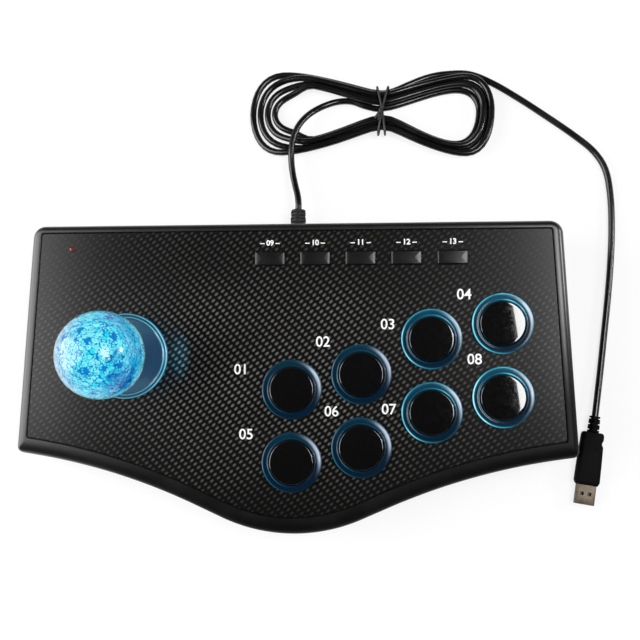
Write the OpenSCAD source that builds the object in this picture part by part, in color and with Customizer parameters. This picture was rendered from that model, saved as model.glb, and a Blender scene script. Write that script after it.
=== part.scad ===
// Arcade fight stick: a tilted panel with a lit ball-top lever, eight buttons and five keys.
// Millimetres, +Z up, +Y to the rear. The origin is under the middle of the case, on the floor.

/* [Case] */
// Width across the rear corners
case_rear_w = 325; // [300:5:350]
// Width across the front corners
case_front_w = 342; // [310:5:370]
// Depth from the rear wall to the tip of the front bulge
case_depth = 188; // [180:2:210]
// Height of the panel above the floor at the middle of the case
panel_mid_h = 44; // [43:1:60]
// Slope of the panel, lower at the front
panel_tilt = 5; // [3:0.5:8]
// Thickness of the shell's walls
wall = 2.6; // [2:0.2:3.4]
// How far the walls lean in from base to top
draft = 0.8; // [0:0.2:2]
// Radius of the rear corners
rear_corner_r = 9; // [6:1:14]
// Radius of the front corners
front_corner_r = 4.5; // [4:0.5:8]

/* [Front edge] */
// Radius of the bulge at the middle of the front
bulge_r = 105; // [90:5:120]
// Steepest slope of the front edge, in degrees
bulge_slope = 24; // [20:1:28]
// Slope of the front edge beside its corners, in degrees
shoulder_slope = 8.5; // [6:0.5:11]
// Straight run between the bulge and the hollow
straight_run = 18; // [10:1:25]
// Straight run between the hollow and the front corner
shoulder_run = 12; // [9:1:16]

/* [Frame round the panel] */
// Width of the frame at the sides
frame_side_w = 6.5; // [5:0.5:9]
// Width of the frame at the rear
frame_rear_w = 5; // [4.5:0.5:8]
// Width of the lip along the front
frame_front_w = 9.5; // [7:0.5:12]
// How far the frame rolls down to the wall
frame_roll = 5.5; // [4:0.5:7]
// How far the frame's crest lies below the plate's face
crest_drop = 0.3; // [0.2:0.1:0.6]

/* [Panel] */
// Thickness of the carbon-faced plate
plate_t = 2; // [1.6:0.2:2.6]
// Thickness of the shell's deck under the plate
deck_t = 2.5; // [2:0.1:3]
// Gap between the plate and the frame
plate_gap = 0.35; // [0.2:0.05:0.6]

/* [Base] */
// Height of the rubber feet
foot_h = 3; // [2:0.5:5]
// Diameter of the rubber feet
foot_d = 16; // [12:1:20]
// Depth of the pocket that each foot is glued in
foot_pocket = 0.6; // [0.4:0.1:1]
// Thickness of the base cover
base_t = 2.5; // [2:0.1:3.5]
// Height of the rib that locates the base cover inside the shell
base_lip_h = 4; // [3:0.5:6]

/* [Buttons] */
// Distance between the columns of buttons
column_pitch = 41.6; // [41:0.2:44]
// Distance between the two rows of buttons
row_pitch = 43.3; // [42:0.5:46]
// How far the first column lies right of the middle
first_column_x = 0.8; // [-2:0.4:3]
// How far the first column's middle lies in front of the middle of the case
first_column_y = 29.2; // [26:0.5:32]
// Rise between the columns of a pair
pair_rise = 9.1; // [8:0.5:11]
// Rise from the second column to the third
middle_rise = 21; // [18:0.5:22]
// Outer diameter of the clear ring
rim_d = 36; // [34:0.5:38]
// Height of the clear ring above the plate
rim_h = 3.4; // [2.6:0.2:4.2]
// Diameter of the ring's barrel
barrel_d = 29.8; // [29:0.2:31]
// Length of the barrel below the plate's face
barrel_l = 15; // [14:0.5:17]
// Diameter of the plunger
plunger_d = 26.4; // [25:0.2:27]
// Travel of the plunger
plunger_travel = 2.6; // [1.5:0.1:3]
// Height of the plunger's edge above the plate
plunger_h = 3.2; // [3:0.2:4.4]

/* [Keys] */
// Width of a function key
key_w = 18.1; // [16:0.5:20]
// Depth of a function key
key_d = 8.5; // [7:0.5:10]
// Distance between the keys
key_pitch = 27.4; // [26:0.2:29]
// How far the middle key lies right of the middle
keys_x = 42; // [38:1:46]
// How far the keys lie in front of the rear wall
keys_y = 22.6; // [20:0.2:24]
// Height of a key above the plate
key_h = 1.6; // [1.2:0.1:2.4]
// Travel of a key
key_travel = 0.8; // [0.4:0.1:1]

/* [Lever] */
// How far the lever stands left of the middle
lever_x = 100.9; // [98:0.5:104]
// How far the lever stands behind the middle
lever_y = 12.4; // [8:0.4:16]
// Diameter of the ball top
ball_d = 49.6; // [40:0.8:54]
// Height of the ball's middle above the plate
ball_h = 50; // [46:1:56]
// Diameter of the lever shaft
shaft_d = 8; // [7:0.5:9]
// Depth of the pivot below the plate
pivot_drop = 17.5; // [17:0.25:19]
// Tilt of the lever each way, in degrees
lever_tilt = 9; // [6:0.5:10]
// Diameter of the lit ring round the lever
bezel_d = 52; // [48:1:58]
// Height of the lit ring above the plate
bezel_h = 3; // [2.4:0.2:4]

/* [Cord] */
// Diameter of the cord
cord_d = 4.2; // [3.8:0.1:4.6]
// Loops in the hank
hank_loops = 4; // [2:1:5]
// Height of the cord's exit above the floor
cord_exit_h = 14; // [12:1:18]
// Length of the strain relief outside the wall
relief_l = 17; // [14:1:24]
// Width of the plug's moulded grip
plug_w = 15.5; // [14:0.5:17]
// Length of the plug's moulded grip
plug_l = 38; // [32:1:44]

/* [Hidden] */

// Clearances and cuts
overrun = 1;
slide_gap = 0.25;
shaft_gap = 0.05;
seat_gap = 0.1;
run_gap = 0.4;
fine = 64;
medium = 40;
coarse = 16;

// Outline of the case seen from above
rear_y = case_depth / 2;
front_y = -case_depth / 2;
rear_half_w = case_rear_w / 2;
front_half_w = case_front_w / 2;
bulge_steps = 7;
hollow_steps = 11;
corner_steps = 6;
corner_least_r = 1.5;
line_x = bulge_r * sin(bulge_slope) + straight_run * cos(bulge_slope);
line_y = front_y + bulge_r * (1 - cos(bulge_slope)) + straight_run * sin(bulge_slope);
hollow_r = (front_half_w - shoulder_run * cos(shoulder_slope) - line_x)
    / (sin(bulge_slope) - sin(shoulder_slope));
corner_y = line_y + hollow_r * (cos(shoulder_slope) - cos(bulge_slope))
    + shoulder_run * sin(shoulder_slope);
side_heading = atan2(rear_y - corner_y, rear_half_w - front_half_w);
rear_heading = 180;
// Half the case's width at a place along its straight side
function side_x(y) = front_half_w + (rear_half_w - front_half_w) * (y - corner_y) / (rear_y - corner_y);
function both_halves(places) = [for (s = [-1, 1]) for (p = places) [s * p[0], p[1]]];

function inward(heading) = [-sin(heading), cos(heading)];
// A bend between two headings; a negative radius bends it the other way
function arc(centre, r, h0, h1, steps) =
    [for (i = [0:steps]) centre - r * inward(h0 + (h1 - h0) * i / steps)];
// A vertex moved in by two different insets, one for each of the lines that meet there
function inset_vertex(vertex, h0, h1, inset0, inset1) =
    let (n0 = inward(h0), n1 = inward(h1), c = n0 * n1)
    vertex + ((inset0 - c * inset1) * n0 + (inset1 - c * inset0) * n1) / (1 - c * c);
function round_vertex(vertex, h0, h1, r) =
    let (n0 = inward(h0), n1 = inward(h1))
    arc(vertex + r * (n0 + n1) / (1 + n0 * n1), r, h0, h1, corner_steps);
// Insets are [front, side, rear], in the order that the outline meets them
function right_half(in) = concat(
    arc([0, front_y + bulge_r], bulge_r - in[0], 0, bulge_slope, bulge_steps),
    arc([line_x, line_y] - hollow_r * inward(bulge_slope), -hollow_r - in[0], bulge_slope,
        shoulder_slope, hollow_steps),
    round_vertex(inset_vertex([front_half_w, corner_y], shoulder_slope, side_heading, in[0], in[1]),
        shoulder_slope, side_heading, max(front_corner_r - max(in[0], in[1]), corner_least_r)),
    round_vertex(inset_vertex([rear_half_w, rear_y], side_heading, rear_heading, in[1], in[2]),
        side_heading, rear_heading, max(rear_corner_r - max(in[1], in[2]), corner_least_r)));
function outline(in) =
    let (half = right_half(in), n = len(half))
    concat(half, [for (i = [n - 1:-1:1]) [-half[i][0], half[i][1]]]);
function even(inset) = [inset, inset, inset];
frame_in = [frame_front_w, frame_side_w, frame_rear_w] + even(draft);

// Panel plane
function panel_z(y, drop) = panel_mid_h + y * tan(panel_tilt) - drop;
function level_ring(in, z) = [for (p = outline(in)) [p[0], p[1], z]];
function panel_ring(in, drop) = [for (p = outline(in)) [p[0], p[1], panel_z(p[1], drop)]];
module on_panel() translate([0, 0, panel_mid_h]) rotate([panel_tilt, 0, 0]) children();
// Everything below a plane that lies so far under the plate's face
half_space = 2 * case_front_w;
module below_panel(drop)
    on_panel() translate([-half_space / 2, -half_space / 2, -half_space - drop])
        cube([half_space, half_space, half_space]);

// A closed solid through rings of points, the lowest ring first. A ring of the case's outline is
// closed by strips across it, from each point to the one that mirrors it.
function strips(n) = concat([[0, 1, n - 1]],
    [for (i = [1:(n - 1) / 2 - 1]) [i, i + 1, n - i - 1, n - i]]);
function reversed(v) = [for (i = [len(v) - 1:-1:0]) v[i]];
module loft(rings, mirrored = false) {
    n = len(rings[0]);
    last = len(rings) - 1;
    points = [for (ring = rings) for (p = ring) p];
    sides = [for (k = [0:last - 1]) for (i = [0:n - 1]) let (j = (i + 1) % n)
        [k * n + i, (k + 1) * n + i, (k + 1) * n + j, k * n + j]];
    bottom = mirrored ? strips(n) : [[for (i = [0:n - 1]) i]];
    top = [for (face = bottom) [for (i = reversed(face)) last * n + i]];
    polyhedron(points, concat(sides, bottom, top), convexity = 6);
}

// A vertical prism of the outline, moved in by a wall's thickness
module outline_prism(in, z0, z1)
    translate([0, 0, z0]) linear_extrude(z1 - z0) polygon(outline(in));

// Case: top shell
base_top = foot_h + base_t;
roll_steps = 8;
roll_power = 2.4;
crest_flat = 0.8;
function roll(s) = frame_roll * (1 - pow(1 - pow(1 - s, roll_power), 1 / roll_power));
ceiling_drop = plate_t + deck_t;
// Screw posts: two beside each side wall, counted from the wall and from its two ends, and one
// behind the front edge, counted from the bulge
post_d = 8;
post_wall_gap = 8;
post_back = 12;
side_post_ahead = 26;
front_post_back = 36;
front_post_out = 11;
post_places = both_halves([[side_x(rear_y - post_back) - post_wall_gap, rear_y - post_back],
    [side_x(corner_y + side_post_ahead) - post_wall_gap, corner_y + side_post_ahead],
    [line_x + front_post_out, front_y + front_post_back]]);
screw_d = 3;
screw_head_d = 5.6;
screw_head_h = 2.4;

module at_posts() for (p = post_places) translate([p[0], p[1], 0]) children();

module shell_form() loft(concat([level_ring(even(0), base_top)],
    [for (i = [0:roll_steps]) let (s = i / roll_steps)
        panel_ring(even(draft) * (1 - s) + (frame_in - even(crest_flat)) * s,
            crest_drop + roll(s))],
    // Down into the recess that the plate lies in, which closes the form with its floor
    [panel_ring(frame_in, crest_drop), panel_ring(frame_in, plate_t)]), mirrored = true);

// Holes through the deck, each a little larger than what passes it
dome_edge_tilt = 46.5;
module panel_holes(drop0, drop1) {
    h = drop1 - drop0 + 2 * overrun;
    at_buttons() translate([0, 0, -drop1 - overrun])
        cylinder(d = barrel_d + 2 * seat_gap, h = h, $fn = fine);
    at_keys() translate([-key_w / 2 - slide_gap, -key_d / 2 - slide_gap, -drop1 - overrun])
        cube([key_w + 2 * slide_gap, key_d + 2 * slide_gap, h]);
    at_mode_led() translate([0, 0, -drop1 - overrun])
        cylinder(d = mode_led_d + 2 * seat_gap, h = h, $fn = medium);
}

module top_shell() color([0.2, 0.2, 0.2]) {
    difference() {
        shell_form();
        // Cavity under the deck
        intersection() {
            outline_prism(even(wall + draft), -overrun, 2 * panel_mid_h);
            below_panel(ceiling_drop);
        }
        on_panel() {
            panel_holes(plate_t, ceiling_drop);
            at_lever() translate([0, 0, -ceiling_drop - overrun])
                cylinder(r = deck_hole_r, h = deck_t + 2 * overrun, $fn = fine);
        }
        translate([0, rear_y + overrun, cord_exit_h]) rotate([90, 0, 0])
            cylinder(r = grommet_neck_r, h = wall + draft + 2 * overrun, $fn = medium);
    }
    // Posts that the base cover is screwed to
    at_posts_full() difference() {
        translate([0, 0, base_top]) cylinder(d = post_d, h = $post_top - base_top, $fn = medium);
        translate([0, 0, base_top - overrun])
            cylinder(d = screw_d - 2 * thread_bite, h = post_bore_l + overrun, $fn = medium);
    }
    // Posts that the lever's housing hangs from, and those of the key board
    on_panel() {
        at_lever() at_square(housing_screw_half) translate([0, 0, -ceiling_drop - housing_post_h])
            hung_post(housing_post_h);
        at_key_board_screws() translate([0, 0, -ceiling_drop - key_board_drop])
            hung_post(key_board_drop);
    }
}
thread_bite = 0.3;
post_bore_l = 12;
hung_post_d = 6;
module hung_post(l) difference() {
    cylinder(d = hung_post_d, h = l + deck_t / 2, $fn = medium);
    translate([0, 0, -overrun]) cylinder(d = small_screw_d, h = l + overrun, $fn = medium);
}
module at_posts_full() for (p = post_places) {
    $post_top = panel_z(p[1], plate_t + deck_t / 2);
    translate([p[0], p[1], 0]) children();
}
module at_square(half) for (x = [-half, half]) for (y = [-half, half]) translate([x, y, 0]) children();

// Case: plate with the carbon-weave face
plate_edge = 0.5;
module panel_plate() color([0.12, 0.12, 0.12]) difference() {
    loft([panel_ring(frame_in + even(plate_gap), plate_t),
        panel_ring(frame_in + even(plate_gap), plate_edge),
        panel_ring(frame_in + even(plate_gap + plate_edge), 0)], mirrored = true);
    on_panel() {
        panel_holes(0, plate_t);
        at_lever() translate([0, 0, -plate_t - overrun])
            cylinder(r = plate_hole_r, h = plate_t + 2 * overrun, $fn = fine);
    }
}

// Case: base cover
base_chamfer = 1.2;
lip_t = 2;
rib_t = 2;
rib_h = 3;
lip_gap = 0.2;
// Feet, counted as the screw posts are
foot_wall_gap = 20;
foot_back = 19;
side_foot_gap = 33;
side_foot_ahead = 18.5;
front_foot_share = 0.52;
front_foot_back = 17;
foot_places = both_halves([[side_x(rear_y - foot_back) - foot_wall_gap, rear_y - foot_back],
    [side_x(corner_y + side_foot_ahead) - side_foot_gap, corner_y + side_foot_ahead],
    [front_foot_share * line_x, front_y + front_foot_back]]);
module at_feet() for (p = foot_places) translate([p[0], p[1], 0]) children();
// Long ribs as shares of the half depth
rib_y_shares = [0.5, -0.33];
rib_x_shares = [-0.2, 0.36];
module lip_prism(inset, z1) outline_prism(even(inset), base_top - base_t / 2, z1);
module base_cover() color([0.1, 0.1, 0.1]) difference() {
    union() {
        loft([level_ring(even(base_chamfer), foot_h), level_ring(even(0), foot_h + base_chamfer),
            level_ring(even(0), base_top)], mirrored = true);
        difference() {
            lip_prism(wall + draft + lip_gap, base_top + base_lip_h);
            outline_prism(even(wall + draft + lip_gap + lip_t), base_top - base_t,
                base_top + base_lip_h + overrun);
            at_posts() translate([0, 0, base_top])
                cylinder(d = post_d + 2 * run_gap, h = base_lip_h + overrun, $fn = medium);
            translate([-grommet_flange_r - run_gap, rear_y - 2 * (wall + draft + lip_t), base_top])
                cube([2 * (grommet_flange_r + run_gap), 2 * (wall + draft + lip_t),
                    base_lip_h + overrun]);
        }
        intersection() {
            lip_prism(wall + draft + lip_gap + lip_t / 2, base_top + rib_h);
            union() {
                for (s = rib_y_shares) translate([-front_half_w, s * rear_y - rib_t / 2, foot_h])
                    cube([case_front_w, rib_t, base_t + rib_h]);
                for (s = rib_x_shares) translate([s * front_half_w - rib_t / 2, front_y, foot_h])
                    cube([rib_t, case_depth, base_t + rib_h]);
            }
        }
        at_board_posts() translate([0, 0, base_top - base_t / 2])
            cylinder(d = hung_post_d, h = board_z - base_top + base_t / 2, $fn = medium);
        at_ballast_posts() translate([0, 0, base_top - base_t / 2])
            cylinder(d = hung_post_d, h = ballast_z - base_top + base_t / 2, $fn = medium);
    }
    at_feet() translate([0, 0, foot_h - overrun])
        cylinder(d = foot_d + 2 * seat_gap, h = foot_pocket + overrun, $fn = fine);
    at_posts() {
        translate([0, 0, foot_h - overrun])
            cylinder(d = screw_d + 2 * seat_gap, h = base_t + rib_h + 2 * overrun, $fn = medium);
        translate([0, 0, foot_h - overrun])
            cylinder(d = screw_head_d + 2 * seat_gap, h = screw_head_h / 2 + overrun, $fn = medium);
        // Ribs stay clear of the shell's posts
        translate([0, 0, base_top])
            cylinder(d = post_d + 2 * run_gap, h = base_lip_h + overrun, $fn = medium);
    }
    at_board_posts() translate([0, 0, base_top])
        cylinder(d = small_screw_d, h = board_z - base_top + overrun, $fn = medium);
    at_ballast_posts() translate([0, 0, base_top])
        cylinder(d = small_screw_d, h = ballast_z - base_top + overrun, $fn = medium);
}

foot_edge = 1;
module feet() color([0.05, 0.05, 0.05]) at_feet() rotate_extrude($fn = fine)
    polygon([[0, 0], [foot_d / 2 - foot_edge, 0], [foot_d / 2, foot_edge],
        [foot_d / 2, foot_h + foot_pocket], [0, foot_h + foot_pocket]]);

// A pan-head screw that points up from its head's underside, with a cross recess
slot_share = 0.22;
module screw(d, l, head_d, head_h) difference() {
    union() {
        cylinder(d = d, h = l, $fn = medium);
        translate([0, 0, -head_h]) cylinder(d = head_d, h = head_h, $fn = medium);
    }
    for (a = [0, 90]) rotate([0, 0, a])
        translate([-head_d * slot_share * 1.5, -head_d * slot_share / 3, -head_h - overrun])
            cube([head_d * slot_share * 3, head_d * slot_share * 2 / 3, overrun + head_h / 2]);
}
case_screw_l = 9;
module case_screws() color([0.6, 0.6, 0.62]) at_posts()
    translate([0, 0, foot_h + screw_head_h / 2])
        screw(screw_d - 2 * thread_bite - 2 * shaft_gap, case_screw_l, screw_head_d, screw_head_h / 2);

// Case: steel plate that keeps the stick from sliding, on posts of the base cover
small_screw_d = 2;
small_head_d = 4;
small_head_h = 1.4;
ballast_w = 84;
ballast_d = 60;
ballast_t = 3;
ballast_corner = 6;
ballast_share = 0.49;
ballast_x = ballast_share * front_half_w;
ballast_back = 64;
ballast_y = rear_y - ballast_back;
ballast_post_h = 3.4;
ballast_z = base_top + ballast_post_h;
ballast_inset = 7;
module at_ballast_posts() translate([ballast_x, ballast_y, 0])
    for (x = [-1, 1]) for (y = [-1, 1])
        translate([x * (ballast_w / 2 - ballast_inset), y * (ballast_d / 2 - ballast_inset), 0])
            children();
module round_plate(w, d, t, r) linear_extrude(t) {
    square([w - 2 * r, d], center = true);
    square([w, d - 2 * r], center = true);
    for (x = [-1, 1]) for (y = [-1, 1]) translate([x * (w / 2 - r), y * (d / 2 - r)])
        circle(r = r, $fn = medium);
}
module ballast_plate() color([0.45, 0.46, 0.48]) difference() {
    translate([ballast_x, ballast_y, ballast_z])
        round_plate(ballast_w, ballast_d, ballast_t, ballast_corner);
    at_ballast_posts() translate([0, 0, ballast_z - overrun])
        cylinder(d = small_screw_d + 2 * seat_gap, h = ballast_t + 2 * overrun, $fn = medium);
}
module ballast_screws() color([0.7, 0.7, 0.72]) at_ballast_posts()
    translate([0, 0, ballast_z + ballast_t]) rotate([180, 0, 0])
        screw(small_screw_d - 2 * shaft_gap, ballast_t + ballast_post_h, small_head_d, small_head_h);

// Case: main board with the controller, its plug-in sockets and the cord's connector
board_w = 44;
board_d = 56;
board_t = 1.6;
board_share = -0.22;
board_x = board_share * front_half_w;
board_back = 48;
board_y = rear_y - board_back;
board_post_h = 5;
board_z = base_top + board_post_h;
board_inset = 4;
chip_w = 12;
chip_h = 2;
socket_w = 5;
socket_l = 16;
socket_h = 7;
module at_board_posts() translate([board_x, board_y, 0])
    for (x = [-1, 1]) for (y = [-1, 1])
        translate([x * (board_w / 2 - board_inset), y * (board_d / 2 - board_inset), 0]) children();
module main_board() color([0.05, 0.3, 0.15]) {
    difference() {
        translate([board_x - board_w / 2, board_y - board_d / 2, board_z])
            cube([board_w, board_d, board_t]);
        at_board_posts() translate([0, 0, board_z - overrun])
            cylinder(d = small_screw_d + 2 * seat_gap, h = board_t + 2 * overrun, $fn = medium);
    }
    translate([board_x, board_y, board_z + board_t]) {
        translate([-chip_w / 2, -chip_w / 2, 0]) cube([chip_w, chip_w, chip_h]);
        for (s = [-1, 1]) translate([s * (board_w / 2 - socket_w) - socket_w / 2, -socket_l / 2, 0])
            cube([socket_w, socket_l, socket_h]);
    }
}
module board_screws() color([0.7, 0.7, 0.72]) at_board_posts()
    translate([0, 0, board_z + board_t]) rotate([180, 0, 0])
        screw(small_screw_d - 2 * shaft_gap, board_post_h, small_head_d, small_head_h);

// Case: mode lamp at the rear left of the panel
mode_led_d = 3;
mode_led_in = 26.5;
mode_led_back = 15.8;
mode_led_flange = 0.8;
module at_mode_led() translate([mode_led_in - rear_half_w, rear_y - mode_led_back, 0]) children();
module mode_led() color([0.6, 0.1, 0.1]) on_panel() at_mode_led() {
    translate([0, 0, -ceiling_drop - mode_led_flange])
        cylinder(d = mode_led_d + 2 * mode_led_flange, h = mode_led_flange, $fn = medium);
    translate([0, 0, -ceiling_drop]) cylinder(d = mode_led_d, h = ceiling_drop, $fn = medium);
    intersection() {
        sphere(d = mode_led_d, $fn = medium);
        translate([-mode_led_d, -mode_led_d, 0]) cube(2 * mode_led_d);
    }
}

// Buttons: places on the panel, front row first
column_lifts = [0, pair_rise, pair_rise + middle_rise, 2 * pair_rise + middle_rise];
function button_place(i) = let (column = i % 4, row = floor(i / 4))
    [first_column_x + column * column_pitch,
        column_lifts[column] - first_column_y + (row - 1 / 2) * row_pitch];
button_count = 8;
module at_button(i) translate([button_place(i)[0], button_place(i)[1], 0]) children();
module at_buttons() for (i = [0:button_count - 1]) at_button(i) children();

// Buttons: clear ring and barrel in one piece, with a floor that the switch clips under
rim_bead_r = 1.7;
bore_d = plunger_d + 2 * slide_gap;
floor_t = 1.6;
stem_d = 3;
ring_foot = 0.6;
module button_rims() color([0.15, 0.45, 0.65, 0.7]) on_panel() at_buttons()
    rotate_extrude($fn = fine) {
        // Flange and bead, rounded over towards the plunger
        difference() {
            union() {
                translate([bore_d / 2, 0]) square([rim_d / 2 - bore_d / 2, ring_foot]);
                translate([(rim_d + bore_d) / 4, ring_foot]) scale(
                    (rim_d - bore_d) / 4 / rim_bead_r) circle(r = rim_bead_r, $fn = medium);
            }
            translate([0, -rim_d]) square([rim_d, rim_d]);
            translate([0, rim_h]) square([rim_d, rim_d]);
        }
        translate([bore_d / 2, -barrel_l]) square([(barrel_d - bore_d) / 2, barrel_l]);
        translate([stem_d / 2 + slide_gap, -barrel_l])
            square([(barrel_d - stem_d) / 2 - slide_gap, floor_t]);
    }

nut_d = 36;
nut_h = 5;
nut_gap = 0.1;
nut_ribs = 12;
nut_rib_r = 1.2;
module rim_locknuts() color([0.08, 0.08, 0.08]) on_panel() at_buttons()
    translate([0, 0, -ceiling_drop - nut_h]) difference() {
        union() {
            cylinder(d = nut_d - 2 * nut_rib_r, h = nut_h, $fn = fine);
            for (i = [0:nut_ribs - 1]) rotate([0, 0, 360 * i / nut_ribs])
                translate([nut_d / 2 - nut_rib_r, 0, 0]) cylinder(r = nut_rib_r, h = nut_h, $fn = coarse);
        }
        translate([0, 0, -overrun])
            cylinder(d = barrel_d + 2 * nut_gap, h = nut_h + 2 * overrun, $fn = fine);
    }

// Buttons: plunger with a shallow crown, a skirt and a stem that works the switch
crown_h = 0.8;
crown_r = (pow(plunger_d / 2, 2) + pow(crown_h, 2)) / (2 * crown_h);
cap_t = 2.2;
skirt_t = 1.4;
skirt_end = barrel_l - floor_t - plunger_travel - run_gap;
stem_reach = 0.6;
module plunger(i) color([0.06, 0.06, 0.06]) on_panel() at_button(i)
    rotate_extrude($fn = fine) {
        intersection() {
            translate([0, plunger_h - crown_r + crown_h]) circle(r = crown_r, $fn = 6 * fine);
            translate([0, plunger_h - cap_t]) square([plunger_d / 2, cap_t + crown_h]);
        }
        translate([plunger_d / 2 - skirt_t, -skirt_end]) square([skirt_t, skirt_end + plunger_h - crown_h]);
        translate([0, -barrel_l - stem_reach])
            square([stem_d / 2, barrel_l + stem_reach + plunger_h - crown_h]);
    }
module plunger_1() plunger(0);
module plunger_2() plunger(1);
module plunger_3() plunger(2);
module plunger_4() plunger(3);
module plunger_5() plunger(4);
module plunger_6() plunger(5);
module plunger_7() plunger(6);
module plunger_8() plunger(7);

// A microswitch whose well takes a stem of the given diameter; its top face is at z = 0
module switch_body(w, d, h, well_d, well_l, leg_w, leg_l) {
    difference() {
        translate([-w / 2, -d / 2, -h]) cube([w, d, h]);
        translate([0, 0, -well_l]) cylinder(d = well_d, h = well_l + overrun, $fn = medium);
    }
    for (x = [-w / 3, 0, w / 3]) translate([x - leg_w / 2, -leg_w / 4, -h - leg_l])
        cube([leg_w, leg_w / 2, leg_l]);
}
switch_w = 20;
switch_d = 6.4;
switch_h = 9;
leg_w = 3;
leg_l = 3;
module button_switches() color([0.1, 0.1, 0.1]) on_panel() at_buttons()
    translate([0, 0, -barrel_l])
        switch_body(switch_w, switch_d, switch_h, stem_d + 2 * slide_gap,
            stem_reach + plunger_travel + run_gap, leg_w, leg_l);

// Lamps that light each clear ring from the barrel's floor
button_led_d = 3;
button_led_h = 4;
button_led_x = 7.5;
module button_leds() color([0.6, 0.8, 1]) on_panel() at_buttons()
    translate([0, button_led_x, -barrel_l - button_led_h])
        cylinder(d = button_led_d, h = button_led_h, $fn = medium);

// Function keys
key_count = 5;
key_corner = 1;
key_crown = 0.4;
key_flange = 1;
key_flange_t = 1.2;
key_flange_gap = 0.2;
key_stem_d = 2.4;
key_board_drop = 6.5;
tact_w = 6;
tact_h = 3.4;
tact_well = 1.6;
key_stem_l = key_board_drop - tact_h + tact_well - key_travel - slide_gap;
key_row_y = rear_y - keys_y;
module at_key(i) translate([keys_x + (i - (key_count - 1) / 2) * key_pitch, key_row_y, 0]) children();
module at_keys() for (i = [0:key_count - 1]) at_key(i) children();
key_crown_r = (pow(key_w / 2, 2) + pow(key_crown, 2)) / (2 * key_crown);
module key_cap(i) color([0.13, 0.13, 0.13]) on_panel() at_key(i) {
    // Cap with a crown along its length
    intersection() {
        translate([0, 0, -ceiling_drop - key_flange_gap])
            round_plate(key_w, key_d, ceiling_drop + key_flange_gap + key_h, key_corner);
        translate([0, key_d, key_h - key_crown_r]) rotate([90, 0, 0])
            cylinder(r = key_crown_r, h = 2 * key_d, $fn = 6 * fine);
    }
    translate([0, 0, -ceiling_drop - key_flange_gap - key_flange_t])
        round_plate(key_w + 2 * key_flange, key_d + 2 * key_flange, key_flange_t, key_corner);
    translate([0, 0, -ceiling_drop - key_stem_l])
        cylinder(d = key_stem_d, h = key_stem_l, $fn = medium);
}
module key_1() key_cap(0);
module key_2() key_cap(1);
module key_3() key_cap(2);
module key_4() key_cap(3);
module key_5() key_cap(4);
module key_switches() color([0.75, 0.75, 0.72]) on_panel() at_keys()
    translate([0, 0, -ceiling_drop - key_board_drop]) difference() {
        translate([-tact_w / 2, -tact_w / 2, 0]) cube([tact_w, tact_w, tact_h]);
        translate([0, 0, tact_h - tact_well])
            cylinder(d = key_stem_d + 2 * slide_gap, h = tact_well + overrun, $fn = medium);
    }
key_board_d = 12;
key_board_end = 11;
key_board_l = (key_count - 1) * key_pitch + key_w + 2 * key_board_end;
module at_key_board_screws() translate([keys_x, key_row_y, 0])
    for (x = [-1, 1]) translate([x * (key_board_l / 2 - hung_post_d / 2 - key_flange), 0, 0])
        children();
module key_board() color([0.05, 0.3, 0.15]) on_panel() difference() {
    translate([keys_x - key_board_l / 2, key_row_y - key_board_d / 2,
        -ceiling_drop - key_board_drop - board_t])
        cube([key_board_l, key_board_d, board_t]);
    at_key_board_screws() translate([0, 0, -ceiling_drop - key_board_drop - board_t - overrun])
        cylinder(d = small_screw_d + 2 * seat_gap, h = board_t + 2 * overrun, $fn = medium);
}
module key_board_screws() color([0.7, 0.7, 0.72]) on_panel() at_key_board_screws()
    translate([0, 0, -ceiling_drop - key_board_drop - board_t])
        screw(small_screw_d - 2 * shaft_gap, key_board_drop, small_head_d, small_head_h);

// Lever: heights are counted from the pivot, on the lever's own axis
module at_lever() translate([-lever_x, lever_y, 0]) children();
module at_pivot() on_panel() at_lever() translate([0, 0, -pivot_drop]) children();
dome_top = 3.5;
dome_r = pivot_drop + dome_top;
dome_t = 1.2;
plate_hole_r = sqrt(pow(dome_r, 2) - pow(pivot_drop - plate_t, 2)) + run_gap;
deck_hole_r = sqrt(pow(dome_r, 2) - pow(pivot_drop - ceiling_drop, 2)) + run_gap;
bezel_hole_r = sqrt(pow(dome_r, 2) - pow(pivot_drop, 2)) + run_gap;
bezel_floor = 1.4;
bezel_rim_w = 2.4;
bezel_step_w = 1.2;
bezel_bead = 0.6;
module stick_bezel() color([0.15, 0.45, 0.65, 0.7]) on_panel() at_lever()
    rotate_extrude($fn = 2 * fine) {
        translate([bezel_hole_r, 0]) square([bezel_d / 2 - bezel_hole_r, bezel_floor]);
        // Rim with a rounded crest, and a second line inside it
        translate([bezel_d / 2 - bezel_rim_w, 0]) square([bezel_rim_w, bezel_h - bezel_rim_w / 2]);
        translate([bezel_d / 2 - bezel_rim_w / 2, bezel_h - bezel_rim_w / 2])
            circle(d = bezel_rim_w, $fn = medium);
        translate([bezel_d / 2 - 2 * bezel_rim_w - bezel_step_w / 2, bezel_floor])
            circle(r = bezel_bead, $fn = medium);
    }

// The dome turns about the pivot, so it slides under the bezel without opening a gap
module dust_dome() color([0.1, 0.14, 0.2]) at_pivot() rotate_extrude($fn = fine)
    difference() {
        circle(r = dome_r, $fn = 4 * fine);
        circle(r = dome_r - dome_t, $fn = 4 * fine);
        translate([-2 * dome_r, -2 * dome_r]) square([2 * dome_r, 4 * dome_r]);
        polygon([[-overrun, 0], [0, 0], 2 * dome_r * [sin(dome_edge_tilt), cos(dome_edge_tilt)],
            2 * dome_r * [1, 0], 2 * dome_r * [1, -1], 2 * dome_r * [0, -1], [-overrun, -2 * dome_r]]);
        square([shaft_d + 2 * shaft_gap, 4 * dome_r], center = true);
    }

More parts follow.
